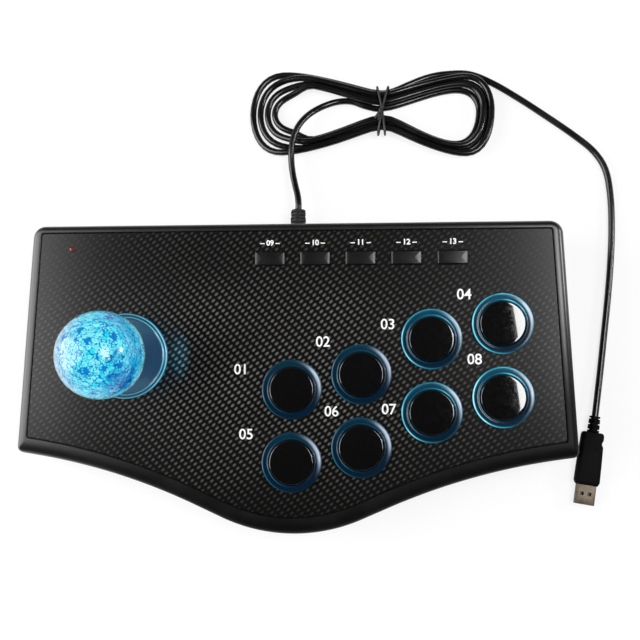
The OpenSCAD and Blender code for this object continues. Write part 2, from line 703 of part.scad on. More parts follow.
// Ball: a clear shell round a core that is full of bubbles, with a well for the lamp
module at_ball() at_pivot() translate([0, 0, pivot_drop + ball_h]) children();
ball_socket = 8;
ball_led_d = 5;
ball_led_h = 5;
core_share = 0.64;
core_r = core_share * ball_d / 2;
core_floor = 3.6;
core_base = ball_socket + core_floor - ball_d / 2;
bubble_count = 72;
golden_turn = 137.508;
large_bubble_share = 0.14;
small_bubble_share = 0.1;
large_bubble_each = 3;
cavity_r = (1 + large_bubble_share) * core_r + run_gap;
lamp_well_h = ball_led_h + ball_led_d / 2 + seat_gap;
module lamp_well() translate([0, 0, ball_socket - ball_d / 2 - overrun])
    cylinder(d = ball_led_d + 2 * seat_gap, h = lamp_well_h + overrun, $fn = medium);
module above_core_base() difference() {
    children();
    translate([0, 0, core_base - ball_d]) cylinder(d = ball_d, h = ball_d, $fn = fine);
}
module ball_top() color([0.4, 0.8, 1, 0.6]) at_ball() difference() {
    sphere(d = ball_d, $fn = 2 * fine);
    translate([0, 0, -ball_d])
        cylinder(d = shaft_d + 2 * shaft_gap, h = ball_d / 2 + ball_socket, $fn = fine);
    lamp_well();
    above_core_base() sphere(r = cavity_r, $fn = 2 * fine);
}
// Bubbles lie evenly over the core, each one a golden turn on from the last
module bubble(i) {
    share = i % large_bubble_each == 0 ? large_bubble_share : small_bubble_share;
    level = 1 - (2 * i + 1) / bubble_count;
    if (level * core_r > core_base + large_bubble_share * core_r)
        rotate([0, acos(level), golden_turn * i]) translate([0, 0, core_r])
            sphere(r = share * core_r, $fn = medium);
}
module ball_core() color([0.3, 0.75, 1]) at_ball() difference() {
    above_core_base() union() {
        sphere(r = core_r, $fn = 2 * fine);
        for (i = [0:bubble_count - 1]) bubble(i);
    }
    lamp_well();
}
shaft_top = pivot_drop + ball_h - ball_d / 2 + ball_socket;
module ball_led() color([0.7, 0.9, 1]) at_pivot() translate([0, 0, shaft_top]) {
    cylinder(d = ball_led_d, h = ball_led_h, $fn = medium);
    translate([0, 0, ball_led_h]) sphere(d = ball_led_d, $fn = medium);
}

wire_bore_d = 3;
// The housing, the gimbal ring and the pivot block follow the flange's width, from outside in
flange_w = 58;
flange_reach = 7;
housing_w = flange_w - 2 * flange_reach;
housing_wall = 3;
ring_clear = 2;
ring_out_d = housing_w - 2 * housing_wall - 2 * ring_clear;
ring_in_share = 0.71;
ring_in_d = ring_in_share * ring_out_d;
ring_h = 7;
block_share = 0.62;
block_w = block_share * ring_in_d;
block_h = 7;
trunnion_d = 4;
shaft_end = -17.6;
// The lower end of the shaft is grooved for the retaining clip
clip_groove = 0.8;
clip_t = 0.8;
clip_w = 2.2;
clip_lift = 1;
module lever_shaft() color([0.75, 0.76, 0.78]) at_pivot() difference() {
    translate([0, 0, shaft_end]) cylinder(d = shaft_d, h = shaft_top - shaft_end, $fn = fine);
    translate([0, 0, shaft_end - overrun])
        cylinder(d = wire_bore_d, h = shaft_top - shaft_end + 2 * overrun, $fn = medium);
    translate([0, 0, shaft_end + clip_lift]) difference() {
        cylinder(d = 2 * shaft_d, h = clip_t + 2 * shaft_gap, $fn = fine);
        translate([0, 0, -overrun])
            cylinder(d = shaft_d - 2 * clip_groove, h = clip_t + 2 * overrun, $fn = fine);
    }
}

// The block tilts in the ring about the panel's depth, on its own trunnions
module pivot_block() color([0.85, 0.85, 0.82]) at_pivot() difference() {
    union() {
        translate([-block_w / 2, -block_w / 2, -block_h / 2]) cube([block_w, block_w, block_h]);
        rotate([90, 0, 0])
            cylinder(d = trunnion_d, h = ring_out_d - run_gap, center = true, $fn = fine);
    }
    cylinder(d = shaft_d + 2 * shaft_gap, h = 2 * block_h, center = true, $fn = fine);
}

// The ring tilts in the housing about the panel's width
ring_pin_l = housing_w / 2 - run_gap;
module gimbal_ring() color([0.2, 0.2, 0.22]) at_pivot() {
    difference() {
        cylinder(d = ring_out_d, h = ring_h, center = true, $fn = fine);
        cylinder(d = ring_in_d, h = 2 * ring_h, center = true, $fn = fine);
        rotate([90, 0, 0]) cylinder(d = trunnion_d + 2 * shaft_gap, h = 2 * ring_out_d, center = true, $fn = fine);
    }
    for (a = [0, 180]) rotate([0, 0, a]) translate([(ring_in_d + ring_out_d) / 4, 0, 0])
        rotate([0, 90, 0]) cylinder(d = trunnion_d, h = ring_pin_l - (ring_in_d + ring_out_d) / 4, $fn = fine);
}

housing_drop = 7;
housing_post_h = housing_drop - ceiling_drop;
flange_t = 2;
flange_corner = 4;
housing_screw_half = (flange_w - flange_reach) / 2;
housing_top = pivot_drop - housing_drop;
housing_floor = -9;
gate_t = 1.6;
module stick_housing() color([0.1, 0.1, 0.1]) at_pivot() difference() {
    union() {
        translate([0, 0, housing_top - flange_t]) round_plate(flange_w, flange_w, flange_t, flange_corner);
        translate([-housing_w / 2, -housing_w / 2, housing_floor])
            cube([housing_w, housing_w, housing_top - flange_t - housing_floor]);
    }
    translate([0, 0, housing_floor - overrun])
        translate([-housing_w / 2 + housing_wall, -housing_w / 2 + housing_wall, 0])
            cube([housing_w - 2 * housing_wall, housing_w - 2 * housing_wall,
                housing_top - housing_floor + 2 * overrun]);
    rotate([0, 90, 0]) cylinder(d = trunnion_d + 2 * shaft_gap, h = 2 * housing_w, center = true, $fn = fine);
    at_square(housing_screw_half)
        cylinder(d = small_screw_d + 2 * seat_gap, h = housing_top + overrun, $fn = medium);
}
module stick_screws() color([0.7, 0.7, 0.72]) at_pivot() at_square(housing_screw_half)
    translate([0, 0, housing_top - flange_t])
        screw(small_screw_d - 2 * shaft_gap, housing_post_h + flange_t, small_head_d, small_head_h);

// Square gate that stops the actuator at its full tilt
actuator_top = housing_floor + seat_gap;
actuator_d = 12;
actuator_h = 6.8;
actuator_cone = 1.6;
actuator_swing = (actuator_h - actuator_top) * tan(lever_tilt);
gate_reach = -(housing_floor - gate_t) * tan(lever_tilt);
gate_half = actuator_d / 2 / cos(lever_tilt) + gate_reach + run_gap;
module restrictor_gate() color([0.85, 0.85, 0.82]) at_pivot()
    translate([0, 0, housing_floor - gate_t]) difference() {
        translate([-housing_w / 2, -housing_w / 2, 0]) cube([housing_w, housing_w, gate_t]);
        translate([-gate_half, -gate_half, -overrun])
            cube([2 * gate_half, 2 * gate_half, gate_t + 2 * overrun]);
    }

// Centring spring round the shaft, between the pivot block and the collar of the actuator
spring_wire = 0.8;
spring_turns = 4;
spring_steps = 16;
spring_sides = 6;
spring_d = shaft_d + 2 * spring_wire + 2 * run_gap;
spring_bottom = actuator_top;
spring_l = -block_h / 2 - spring_bottom;
module lever_spring() color([0.7, 0.72, 0.75]) at_pivot() tube(
    [for (i = [0:spring_turns * spring_steps]) let (s = i / spring_steps / spring_turns)
        [spring_d / 2 * cos(360 * i / spring_steps), spring_d / 2 * sin(360 * i / spring_steps),
            spring_bottom + spring_wire / 2 + s * (spring_l - spring_wire)]],
    spring_wire / 2, spring_sides);

module actuator() color([0.1, 0.1, 0.1]) at_pivot() translate([0, 0, actuator_top - actuator_h])
    difference() {
        union() {
            cylinder(d1 = actuator_d - 2 * actuator_cone, d2 = actuator_d, h = actuator_cone, $fn = fine);
            translate([0, 0, actuator_cone])
                cylinder(d = actuator_d, h = actuator_h - actuator_cone, $fn = fine);
        }
        translate([0, 0, -overrun])
            cylinder(d = shaft_d + 2 * shaft_gap, h = actuator_h + 2 * overrun, $fn = fine);
    }
module retaining_clip() color([0.6, 0.6, 0.62]) at_pivot()
    translate([0, 0, shaft_end + clip_lift + shaft_gap]) difference() {
        cylinder(d = shaft_d + 2 * clip_w - 2 * clip_groove, h = clip_t, $fn = fine);
        translate([0, 0, -overrun])
            cylinder(d = shaft_d - 2 * clip_groove + 2 * shaft_gap, h = clip_t + 2 * overrun, $fn = fine);
        translate([0, -shaft_d / 4, -overrun]) cube([shaft_d, shaft_d / 2, clip_t + 2 * overrun]);
    }

// Direction switches round the actuator, on a board that hangs under the gate
stick_switch_l = 13;
stick_switch_w = 6;
stick_switch_h = 5.4;
paddle_t = 0.5;
paddle_h = 4;
paddle_gap = 0.8;
switch_reach = actuator_d / 2 + actuator_swing + run_gap + paddle_t + paddle_gap;
module stick_switches() color([0.1, 0.1, 0.1]) at_pivot()
    translate([0, 0, housing_floor - gate_t - stick_switch_h])
        for (a = [0:90:270]) rotate([0, 0, a]) translate([switch_reach, 0, 0]) {
            translate([0, -stick_switch_l / 2, 0]) cube([stick_switch_w, stick_switch_l, stick_switch_h]);
            // Sprung paddle that the actuator presses
            translate([-paddle_gap - paddle_t, -stick_switch_l / 2, (stick_switch_h - paddle_h) / 2])
                cube([paddle_t, stick_switch_l, paddle_h]);
            translate([-paddle_gap - paddle_t / 2, -stick_switch_l / 2, (stick_switch_h - paddle_h) / 2])
                cube([paddle_gap + paddle_t, paddle_t, paddle_h]);
        }
stick_board_inset = 1;
stick_board_w = housing_w - 2 * stick_board_inset;
module stick_board() color([0.05, 0.3, 0.15]) at_pivot()
    translate([0, 0, housing_floor - gate_t - stick_switch_h - board_t]) difference() {
        translate([-stick_board_w / 2, -stick_board_w / 2, 0])
            cube([stick_board_w, stick_board_w, board_t]);
        translate([0, 0, -overrun]) cylinder(r = shaft_d / 2 + clip_w - clip_groove
            + actuator_swing + run_gap, h = board_t + 2 * overrun, $fn = fine);
    }

// Cord: a tube swept along its centreline, with rings square to it
function unit(v) = v / norm(v);
function tangent(path, i) = let (n = len(path) - 1)
    unit(path[min(i + 1, n)] - path[max(i - 1, 0)]);
function side_of(t) = abs(t[2]) > 0.9 ? unit(cross(t, [0, 1, 0])) : unit(cross(t, [0, 0, 1]));
module tube(path, r, sides) loft([for (i = [len(path) - 1:-1:0])
    let (t = tangent(path, i), a = side_of(t), b = cross(t, a))
    [for (k = [0:sides - 1]) let (w = 360 * (k + 1 / 2) / sides)
        path[i] + r * (cos(w) * a + sin(w) * b)]]);
// Points between the route's own, on a smooth curve through them
function spline_point(p0, p1, p2, p3, t) = 0.5 * (2 * p1 + (p2 - p0) * t
    + (2 * p0 - 5 * p1 + 4 * p2 - p3) * t * t + (3 * p1 - p0 - 3 * p2 + p3) * t * t * t);
function smooth_route(route, steps) = let (n = len(route) - 1) concat(
    [for (i = [0:n - 1]) for (k = [0:steps - 1]) spline_point(
        i > 0 ? route[i - 1] : 2 * route[0] - route[1], route[i], route[i + 1],
        i < n - 1 ? route[i + 2] : 2 * route[n] - route[n - 1], k / steps)], [route[n]]);
function path_length(path) = len(path) < 2 ? 0
    : sum([for (i = [1:len(path) - 1]) norm(path[i] - path[i - 1])]);
function sum(v, i = 0) = i >= len(v) ? 0 : v[i] + sum(v, i + 1);

cord_r = cord_d / 2;
cord_sides = 8;
floor_clear = 0.05;
cord_z = cord_r + floor_clear;
route_steps = 2;
lead_exit_y = rear_y + relief_l;
tie_x = 54;
hank_setback = 68.5;
tie_y = lead_exit_y + hank_setback;

// Hank: loops that spiral out, side by side at the left end and nested in two layers elsewhere
hank_sides = 6;
hank_rings = 24;
strand_gap = 0.7;
strand_step = cord_d + strand_gap;
nest_angle = 58;
tie_lift = 1;
left_reach = 88;
right_reach = 73.5;
left_top = 28.5;
left_bottom = 28.5;
right_top = 24.5;
right_bottom = 32;
tie_half = 13;
end_power = 3;
waist_share = 0.12;
function ease(a, b, x) = let (t = min(1, max(0, (x - a) / (b - a)))) t * t * (3 - 2 * t);
function lobe(s) = (sqrt(s * s + waist_share * waist_share) - waist_share)
    * sqrt(max(0, 1 - pow(s, end_power)));
lobe_most = max([for (i = [0:90]) lobe(sin(i))]);
flat_shares = [0.55, 0.97];
draw_in_share = 0.75;
// Part of a turn by which a strand changes layer ahead of the tie
layer_share = 0.251;
lift_shares = [0.05, 0.4];
function hank_point(u) = let (
    s = sin(360 * u), c = cos(360 * u), share = abs(s), right = s >= 0, upper = c >= 0,
    nest = nest_angle * (1 - (right ? 0 : ease(flat_shares[0], flat_shares[1], share))),
    inset = strand_step * cos(nest) * (hank_loops - u),
    layer = floor(u + layer_share) % 2,
    half = (right ? (upper ? right_top : right_bottom) : (upper ? left_top : left_bottom)) - inset,
    reach = (right ? right_reach : left_reach) - inset,
    off = half * lobe(share) / lobe_most + (tie_half - inset) * (1 - ease(0, draw_in_share, share)))
    [tie_x + reach * s, tie_y + (upper ? off : -off), cord_z + layer * strand_step * sin(nest)
        + tie_lift * (1 - ease(lift_shares[0], lift_shares[1], share))];
hank_path = [for (i = [0:hank_loops * hank_rings]) hank_point(i / hank_rings)];

// Points of the routes: x, the distance behind the relief's end, and the lift above the floor
lead_points = [[-0.8, 10, 11], [-2.6, 17, 9.5], [-4.4, 25, 8.5], [-5.4, 33, 8.8], [-5.4, 41, 9.5],
    [-4, 49.5, 9.8], [-0.6, 58, 9], [5.4, 66, 6], [14, 72.6, 2.5], [24, 76.4, 0.9],
    [33.5, 76.4, 0.9], [42, 73.2, 1], [49.6, 71.1, 1]];
tail_points = [[58.2, 82, 0.9], [64, 84, 0.8], [72.5, 87.8, 0.4], [84.5, 92.4, 0], [97, 94.4, 0],
    [112, 93.8, 0], [127, 87, 0]];
// The same beside the case, counted from the rear wall and from the case's widest place
beside_points = [[-27, 93, 0], [-9, 80, 0], [8, 67, 0], [20, 56, 0], [27, 43.5, 0],
    [29.5, 26, 0], [29.5, 4, 0], [28, -18, 0], [25.5, -41, 0], [22.5, -64, 0], [19.5, -86, 0.4],
    [17, -102, 1.5]];
plug_h = 8;
plug_out = 15;
plug_back = 115;
plug_turn = 9;
plug_end = [front_half_w + plug_out, rear_y - plug_back, plug_h / 2];
// Lead: out of the relief, down to the floor, over the hank's lower strands, into the tie
lead_route = concat([[0, lead_exit_y, cord_exit_h], [0, lead_exit_y + cord_d, cord_exit_h]],
    [for (p = lead_points) p + [0, lead_exit_y, cord_z]], [hank_point(0)]);
// Tail: out of the tie beside the hank's outer strand, round to the plug beside the case
tail_route = concat([hank_point(hank_loops)], [for (p = tail_points) p + [0, lead_exit_y, cord_z]],
    [for (p = beside_points) p + [front_half_w, rear_y, cord_z]],
    [plug_end + cord_d * [sin(plug_turn), cos(plug_turn), 0], plug_end]);

// Least gap between strands, on points, leaving out neighbours along the same strand
gap_skip = 4;
hank_gap = min([for (i = [0:len(hank_path) - 1 - gap_skip])
    for (j = [i + gap_skip:len(hank_path) - 1]) norm(hank_path[i] - hank_path[j])]) - cord_d;
echo(hank_gap = hank_gap, hank_length = path_length(hank_path),
    lead_length = path_length(smooth_route(lead_route, 4)),
    tail_length = path_length(smooth_route(tail_route, 4)));

grommet_neck_r = 4.4;
grommet_flange_r = 6.4;
grommet_flange_t = 1.4;
relief_r0 = 4.4;
relief_r1 = 3;
relief_collar = 2;
relief_ribs = 4;
rib_gap_share = 0.3;
rib_depth = 0.7;
module cord_grommet() color([0.07, 0.07, 0.07]) translate([0, rear_y, cord_exit_h])
    rotate([-90, 0, 0]) difference() {
        union() {
            translate([0, 0, -wall - draft - grommet_flange_t])
                cylinder(r = grommet_flange_r, h = grommet_flange_t, $fn = fine);
            translate([0, 0, -wall - draft - grommet_flange_t])
                cylinder(r = grommet_neck_r - seat_gap, h = wall + draft + grommet_flange_t, $fn = fine);
            translate([0, 0, 0]) cylinder(r = relief_r0, h = relief_collar, $fn = fine);
            translate([0, 0, relief_collar]) cylinder(r1 = relief_r0, r2 = relief_r1,
                h = relief_l - relief_collar, $fn = fine);
        }
        // Grooves between the ribs
        for (i = [1:relief_ribs]) let (pitch = (relief_l - relief_collar) / (relief_ribs + 1))
            translate([0, 0, relief_collar + i * pitch - pitch * rib_gap_share / 2]) difference() {
                cylinder(r = 2 * relief_r0, h = pitch * rib_gap_share, $fn = fine);
                translate([0, 0, -overrun])
                    cylinder(r = relief_r1 - rib_depth / 2 + (relief_r0 - relief_r1 - rib_depth / 2)
                        * (1 - i / (relief_ribs + 1)), h = pitch * rib_gap_share + 2 * overrun, $fn = fine);
            }
    }

module cord_lead() color([0.07, 0.07, 0.07]) tube(smooth_route(lead_route, route_steps), cord_r, cord_sides);
module cord_hank() color([0.07, 0.07, 0.07]) tube(hank_path, cord_r, hank_sides);
module cord_tail() color([0.07, 0.07, 0.07]) tube(smooth_route(tail_route, route_steps), cord_r, cord_sides);

// Tie: a covered wire, two turns that cross round all strands, its ends twisted together on top
tie_w = 1.6;
tie_t = 0.8;
tie_gap = 0.9;
tie_cross = 10;
tie_end_d = 1.1;
tie_end_l = 12;
tie_end_cross = 9;
module twist_tie() color([0.09, 0.09, 0.09]) translate([tie_x, tie_y, 0]) {
    half = tie_half + cord_r + tie_gap;
    top = cord_z + tie_lift + strand_step * sin(nest_angle) + cord_r + tie_gap;
    for (s = [-1, 1]) rotate([0, 0, s * tie_cross]) rotate([90, 0, 90])
        translate([0, (top + tie_t) / 2, -tie_w / 2]) linear_extrude(tie_w) difference() {
            round_square(2 * (half + tie_t), top + tie_t, cord_r + tie_t);
            round_square(2 * half, top - tie_t, cord_r);
        }
    for (s = [-1, 1]) translate([0, 0, top + tie_t + tie_end_d / 2 - seat_gap])
        rotate([90, 0, s * tie_end_cross])
            cylinder(d = tie_end_d, h = tie_end_l, center = true, $fn = coarse);
}
module round_square(w, h, r) {
    square([w - 2 * r, h], center = true);
    square([w, h - 2 * r], center = true);
    for (x = [-1, 1]) for (y = [-1, 1]) translate([x * (w / 2 - r), y * (h / 2 - r)])
        circle(r = r, $fn = medium);
}

// Plug: it lies flat beside the case and points to the front
plug_corner = 3;
plug_relief_l = 10;
plug_relief_r = 3.4;
plug_shell_w = 12;
plug_shell_h = 4.5;
plug_shell_l = 18.75;
plug_shell_t = 0.35;
plug_shoulder = 40;
module at_plug() translate([plug_end[0], plug_end[1], plug_h / 2]) rotate([0, 0, -plug_turn])
    rotate([90, 0, 0]) children();
module plug_body() color([0.07, 0.07, 0.07]) at_plug() {
    // Ribbed relief, then the grip with a waist behind its shoulder
    difference() {
        cylinder(r1 = cord_r + tie_t, r2 = plug_relief_r, h = plug_relief_l, $fn = fine);
        for (i = [1:3]) translate([-plug_w, plug_relief_r / 3, i * plug_relief_l / 4 - tie_t / 2])
            cube([2 * plug_w, plug_relief_r, tie_t]);
    }
    translate([0, 0, plug_relief_l]) difference() {
        translate([0, 0, 0]) linear_extrude(plug_l - plug_relief_l)
            round_square(plug_w, plug_h, plug_corner);
        // Chamfered shoulders at the cord's end
        for (s = [-1, 1]) translate([s * plug_w / 2, -plug_h, 0]) rotate([0, -s * plug_shoulder, 0])
            translate([s > 0 ? 0 : -plug_w, 0, -plug_w]) cube([plug_w, 2 * plug_h, plug_w]);
    }
}
module plug_shell() color([0.75, 0.75, 0.72]) at_plug() translate([0, 0, plug_l]) difference() {
    translate([-plug_shell_w / 2, -plug_shell_h / 2, 0]) cube([plug_shell_w, plug_shell_h, plug_shell_l]);
    translate([-plug_shell_w / 2 + plug_shell_t, -plug_shell_h / 2 + plug_shell_t, plug_shell_t])
        cube([plug_shell_w - 2 * plug_shell_t, plug_shell_h - 2 * plug_shell_t, plug_shell_l]);
    // Two windows in the face that shows
    for (s = [-1, 1]) translate([s * plug_window_x - plug_window / 2, 0, plug_window_z])
        cube([plug_window, plug_shell_h, plug_window]);
}
plug_window = 2.4;
plug_window_x = 2.4;
plug_window_z = 10;
tongue_share = 0.42;
tongue_gap = 0.1;
module plug_tongue() color([0.9, 0.9, 0.88]) at_plug() translate([0, 0, plug_l + plug_shell_t])
    translate([-plug_shell_w / 2 + plug_shell_t + tongue_gap, -plug_shell_h / 2 + plug_shell_t + tongue_gap, 0])
        cube([plug_shell_w - 2 * plug_shell_t - 2 * tongue_gap, plug_shell_h * tongue_share,
            plug_shell_l - 2 * plug_shell_t]);

top_shell();
panel_plate();
base_cover();
feet();
case_screws();
ballast_plate();
ballast_screws();
main_board();
board_screws();
mode_led();
button_rims();
rim_locknuts();
plunger_1();
plunger_2();
plunger_3();
plunger_4();
plunger_5();
plunger_6();
plunger_7();
plunger_8();
button_switches();
button_leds();
key_1();
key_2();
key_3();
key_4();
key_5();
key_board();
key_switches();
key_board_screws();
stick_bezel();
dust_dome();
ball_top();
ball_core();
ball_led();
lever_shaft();
pivot_block();
gimbal_ring();
stick_housing();
restrictor_gate();
lever_spring();
actuator();
retaining_clip();
stick_switches();
stick_board();
stick_screws();
cord_grommet();
cord_lead();
cord_hank();
cord_tail();
twist_tie();
plug_body();
plug_shell();
plug_tongue();
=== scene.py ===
"""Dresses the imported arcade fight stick: its case, lit buttons and lever, keys, cord and plug."""

import math
import random

import bmesh
import bpy
from mathutils import Matrix, Vector


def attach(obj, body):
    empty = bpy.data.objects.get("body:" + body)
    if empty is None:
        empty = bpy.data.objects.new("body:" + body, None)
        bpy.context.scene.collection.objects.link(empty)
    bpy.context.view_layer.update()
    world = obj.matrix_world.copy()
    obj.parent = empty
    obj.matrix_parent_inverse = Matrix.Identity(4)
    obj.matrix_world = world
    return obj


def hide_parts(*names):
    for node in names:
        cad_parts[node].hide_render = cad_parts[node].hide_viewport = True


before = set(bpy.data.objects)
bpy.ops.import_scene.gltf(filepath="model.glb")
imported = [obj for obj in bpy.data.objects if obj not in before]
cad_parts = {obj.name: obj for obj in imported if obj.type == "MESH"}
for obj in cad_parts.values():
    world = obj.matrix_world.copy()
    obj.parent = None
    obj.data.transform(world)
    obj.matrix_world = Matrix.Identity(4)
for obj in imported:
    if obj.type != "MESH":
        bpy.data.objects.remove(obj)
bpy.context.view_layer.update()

bl_info = {
    "name": "Arcade Fight Stick",
    "version": (1, 0, 0),
    "blender": (4, 5, 0),
    "location": "View3D > Sidebar > Fight Stick",
    "description": "Adds the detailed pieces and finishes of an arcade fight stick",
    "category": "Object",
}

MM = 0.001


# Sizes and colours that a user would change


class FightStickSizes(bpy.types.PropertyGroup):
    """Sizes of the stick's pieces, in metres, and the panel's tilt, in radians."""

    rear_width: bpy.props.FloatProperty(
        name="Rear width", description="Width across the rear corners", default=0.325, unit="LENGTH")
    front_width: bpy.props.FloatProperty(
        name="Front width", description="Width across the front corners", default=0.342, unit="LENGTH")
    depth: bpy.props.FloatProperty(
        name="Depth", description="From the rear wall to the tip of the front bulge",
        default=0.188, unit="LENGTH")
    panel_height: bpy.props.FloatProperty(
        name="Panel height", description="Height of the panel at the middle", default=0.044, unit="LENGTH")
    panel_tilt: bpy.props.FloatProperty(
        name="Panel tilt", description="Slope of the panel, lower at the front",
        default=math.radians(5), subtype="ANGLE")
    column_pitch: bpy.props.FloatProperty(
        name="Column pitch", description="Distance between the columns of buttons",
        default=0.0416, unit="LENGTH")
    row_pitch: bpy.props.FloatProperty(
        name="Row pitch", description="Distance between the rows of buttons", default=0.0433, unit="LENGTH")
    rim_diameter: bpy.props.FloatProperty(
        name="Rim diameter", description="Outer diameter of a button's clear ring",
        default=0.036, unit="LENGTH")
    plunger_diameter: bpy.props.FloatProperty(
        name="Plunger diameter", description="Diameter of a button's plunger",
        default=0.0264, unit="LENGTH")
    ball_diameter: bpy.props.FloatProperty(
        name="Ball diameter", description="Diameter of the lever's ball top", default=0.0496, unit="LENGTH")
    bezel_diameter: bpy.props.FloatProperty(
        name="Bezel diameter", description="Diameter of the lit ring at the lever's foot",
        default=0.052, unit="LENGTH")
    cord_diameter: bpy.props.FloatProperty(
        name="Cord diameter", description="Diameter of the cord's jacket", default=0.0042, unit="LENGTH")


class FightStickColours(bpy.types.PropertyGroup):
    """Colours of the stick's finishes."""

    shell: bpy.props.FloatVectorProperty(
        name="Shell", description="Satin plastic of the case",
        subtype="COLOR", size=3, default=(0.0045, 0.0045, 0.0046))
    weave_dark: bpy.props.FloatVectorProperty(
        name="Weave ground", description="Ground of the panel's weave",
        subtype="COLOR", size=3, default=(0.0022, 0.0022, 0.0021))
    weave_light: bpy.props.FloatVectorProperty(
        name="Weave lozenge", description="Lozenges of the panel's weave",
        subtype="COLOR", size=3, default=(0.22, 0.21, 0.192))
    lamp: bpy.props.FloatVectorProperty(
        name="Lamp", description="Light in the clear rings",
        subtype="COLOR", size=3, default=(0.06, 0.5, 0.62))
    ring: bpy.props.FloatVectorProperty(
        name="Ring", description="Tinted clear plastic of the rings",
        subtype="COLOR", size=3, default=(0.0015, 0.008, 0.018))
    plunger: bpy.props.FloatVectorProperty(
        name="Plunger", description="Gloss plastic of the plungers",
        subtype="COLOR", size=3, default=(0.0022, 0.0022, 0.0023))
    cord: bpy.props.FloatVectorProperty(
        name="Cord", description="Jacket of the cord and its plug",
        subtype="COLOR", size=3, default=(0.0035, 0.0035, 0.0037))
    print_white: bpy.props.FloatVectorProperty(
        name="Print", description="Printed marks on the panel",
        subtype="COLOR", size=3, default=(0.82, 0.82, 0.82))


def sizes():
    return bpy.context.scene.fight_stick_sizes


def colours():
    return bpy.context.scene.fight_stick_colours


# Shader maths


class Value:
    """A socket of a node tree. Python's operators on it add Math nodes."""

    def __init__(self, tree, socket):
        self.tree = tree
        self.socket = socket

    def math(self, operation, *others):
        node = self.tree.nodes.new("ShaderNodeMath")
        node.operation = operation
        for i, x in enumerate((self,) + others):
            put(self.tree, node.inputs[i], x)
        return Value(self.tree, node.outputs[0])

    def __add__(self, x):
        return self.math("ADD", x)

    __radd__ = __add__

    def __mul__(self, x):
        return self.math("MULTIPLY", x)

    __rmul__ = __mul__

    def __sub__(self, x):
        return self.math("SUBTRACT", x)

    def __rsub__(self, x):
        return (self * -1).math("ADD", x)

    def __truediv__(self, x):
        return self.math("DIVIDE", x)

    def step(self, low, high, to_low=0.0, to_high=1.0):
        """A smooth rise from to_low at low to to_high at high."""
        node = self.tree.nodes.new("ShaderNodeMapRange")
        node.interpolation_type = "SMOOTHSTEP"
        for i, x in enumerate((self, low, high, to_low, to_high)):
            put(self.tree, node.inputs[i], x)
        return Value(self.tree, node.outputs[0])


def put(tree, socket, x):
    """Sets a socket to a number or colour, or links it to a Value."""
    if isinstance(x, Value):
        tree.links.new(x.socket, socket)
    elif hasattr(x, "__len__") and socket.type == "RGBA" and len(x) == 3:
        socket.default_value = (*x, 1.0)
    else:
        socket.default_value = x


class Finish:
    """A material: a Principled shader, its constants, and the nodes that feed what varies."""

    def __init__(self, name, **constants):
        self.material = bpy.data.materials.new(name)
        self.material.use_nodes = True
        self.tree = self.material.node_tree
        self.shader = self.tree.nodes["Principled BSDF"]
        for key, x in constants.items():
            self.set(key.replace("_", " ").title().replace("Ior", "IOR"), x)
        coordinates = self.tree.nodes.new("ShaderNodeTexCoord")
        self.place = Value(self.tree, coordinates.outputs["Object"])

    def set(self, socket, x):
        put(self.tree, self.shader.inputs[socket], x)
        return self

    def add(self, kind, settings=None, inputs=None, output=0):
        """Adds a node, sets its settings first and then its inputs, and returns one output."""
        node = self.tree.nodes.new(kind)
        for key, x in (settings or {}).items():
            setattr(node, key, x)
        for key, x in (inputs or {}).items():
            put(self.tree, node.inputs[key], x)
        return Value(self.tree, node.outputs[output])

    def axes(self, at, turn=(0, 0, 0)):
        """Object coordinates from a point and turned, as three Values."""
        placed = self.add("ShaderNodeMapping", {"vector_type": "TEXTURE"},
                          {"Vector": self.place, "Location": at, "Rotation": turn})
        return self.split(placed)

    def split(self, vector):
        node = self.tree.nodes.new("ShaderNodeSeparateXYZ")
        put(self.tree, node.inputs[0], vector)
        return [Value(self.tree, node.outputs[i]) for i in range(3)]

    def noise(self, scale, detail=2.0, rough=0.5):
        return self.add("ShaderNodeTexNoise", None, {
            "Vector": self.place, "Scale": scale, "Detail": detail, "Roughness": rough})

    def cells(self, scale):
        """Distance to the nearest of many scattered points."""
        return self.add("ShaderNodeTexVoronoi", None, {"Vector": self.place, "Scale": scale}, "Distance")

    def mix(self, share, a, b):
        node = self.tree.nodes.new("ShaderNodeMix")
        node.data_type = "RGBA"
        put(self.tree, node.inputs[0], share)
        put(self.tree, node.inputs[6], a)
        put(self.tree, node.inputs[7], b)
        return Value(self.tree, node.outputs[2])

    def attribute(self, name):
        return self.add("ShaderNodeAttribute", {"attribute_name": name}, None, "Fac")

    def bump(self, height, strength, distance):
        return self.set("Normal", self.add("ShaderNodeBump", None, {
            "Height": height, "Strength": strength, "Distance": distance}, "Normal"))


def dress(piece, finish):
    """Gives a piece or a CAD node one material."""
    piece.data.materials.clear()
    piece.data.materials.append(finish.material)
    return piece


# Making and placing pieces


def deselect():
    bpy.ops.object.select_all(action="DESELECT")


def only(piece):
    """Deselects all else and makes one piece active."""
    deselect()
    piece.select_set(True)
    bpy.context.view_layer.objects.active = piece
    return piece


def named(name):
    """Names the active piece and its mesh."""
    piece = bpy.context.active_object
    piece.name = name
    piece.data.name = name
    return piece


def place(piece, matrix):
    """Moves a piece's mesh by a matrix, so that its object stays at the origin."""
    only(piece)
    piece.matrix_world = matrix @ piece.matrix_world
    bpy.ops.object.transform_apply(location=True, rotation=True, scale=True)
    return piece


def joined(name, piece, *others):
    """Joins the other pieces into the first."""
    only(piece)
    for other in others:
        other.select_set(True)
    bpy.ops.object.join()
    return named(name)


def block(name, size, matrix):
    """A block of a size in millimetres, centred where the matrix puts it."""
    deselect()
    bpy.ops.mesh.primitive_cube_add(size=1)
    return place(named(name), matrix @ Matrix.Diagonal((*[k * MM for k in size], 1)))


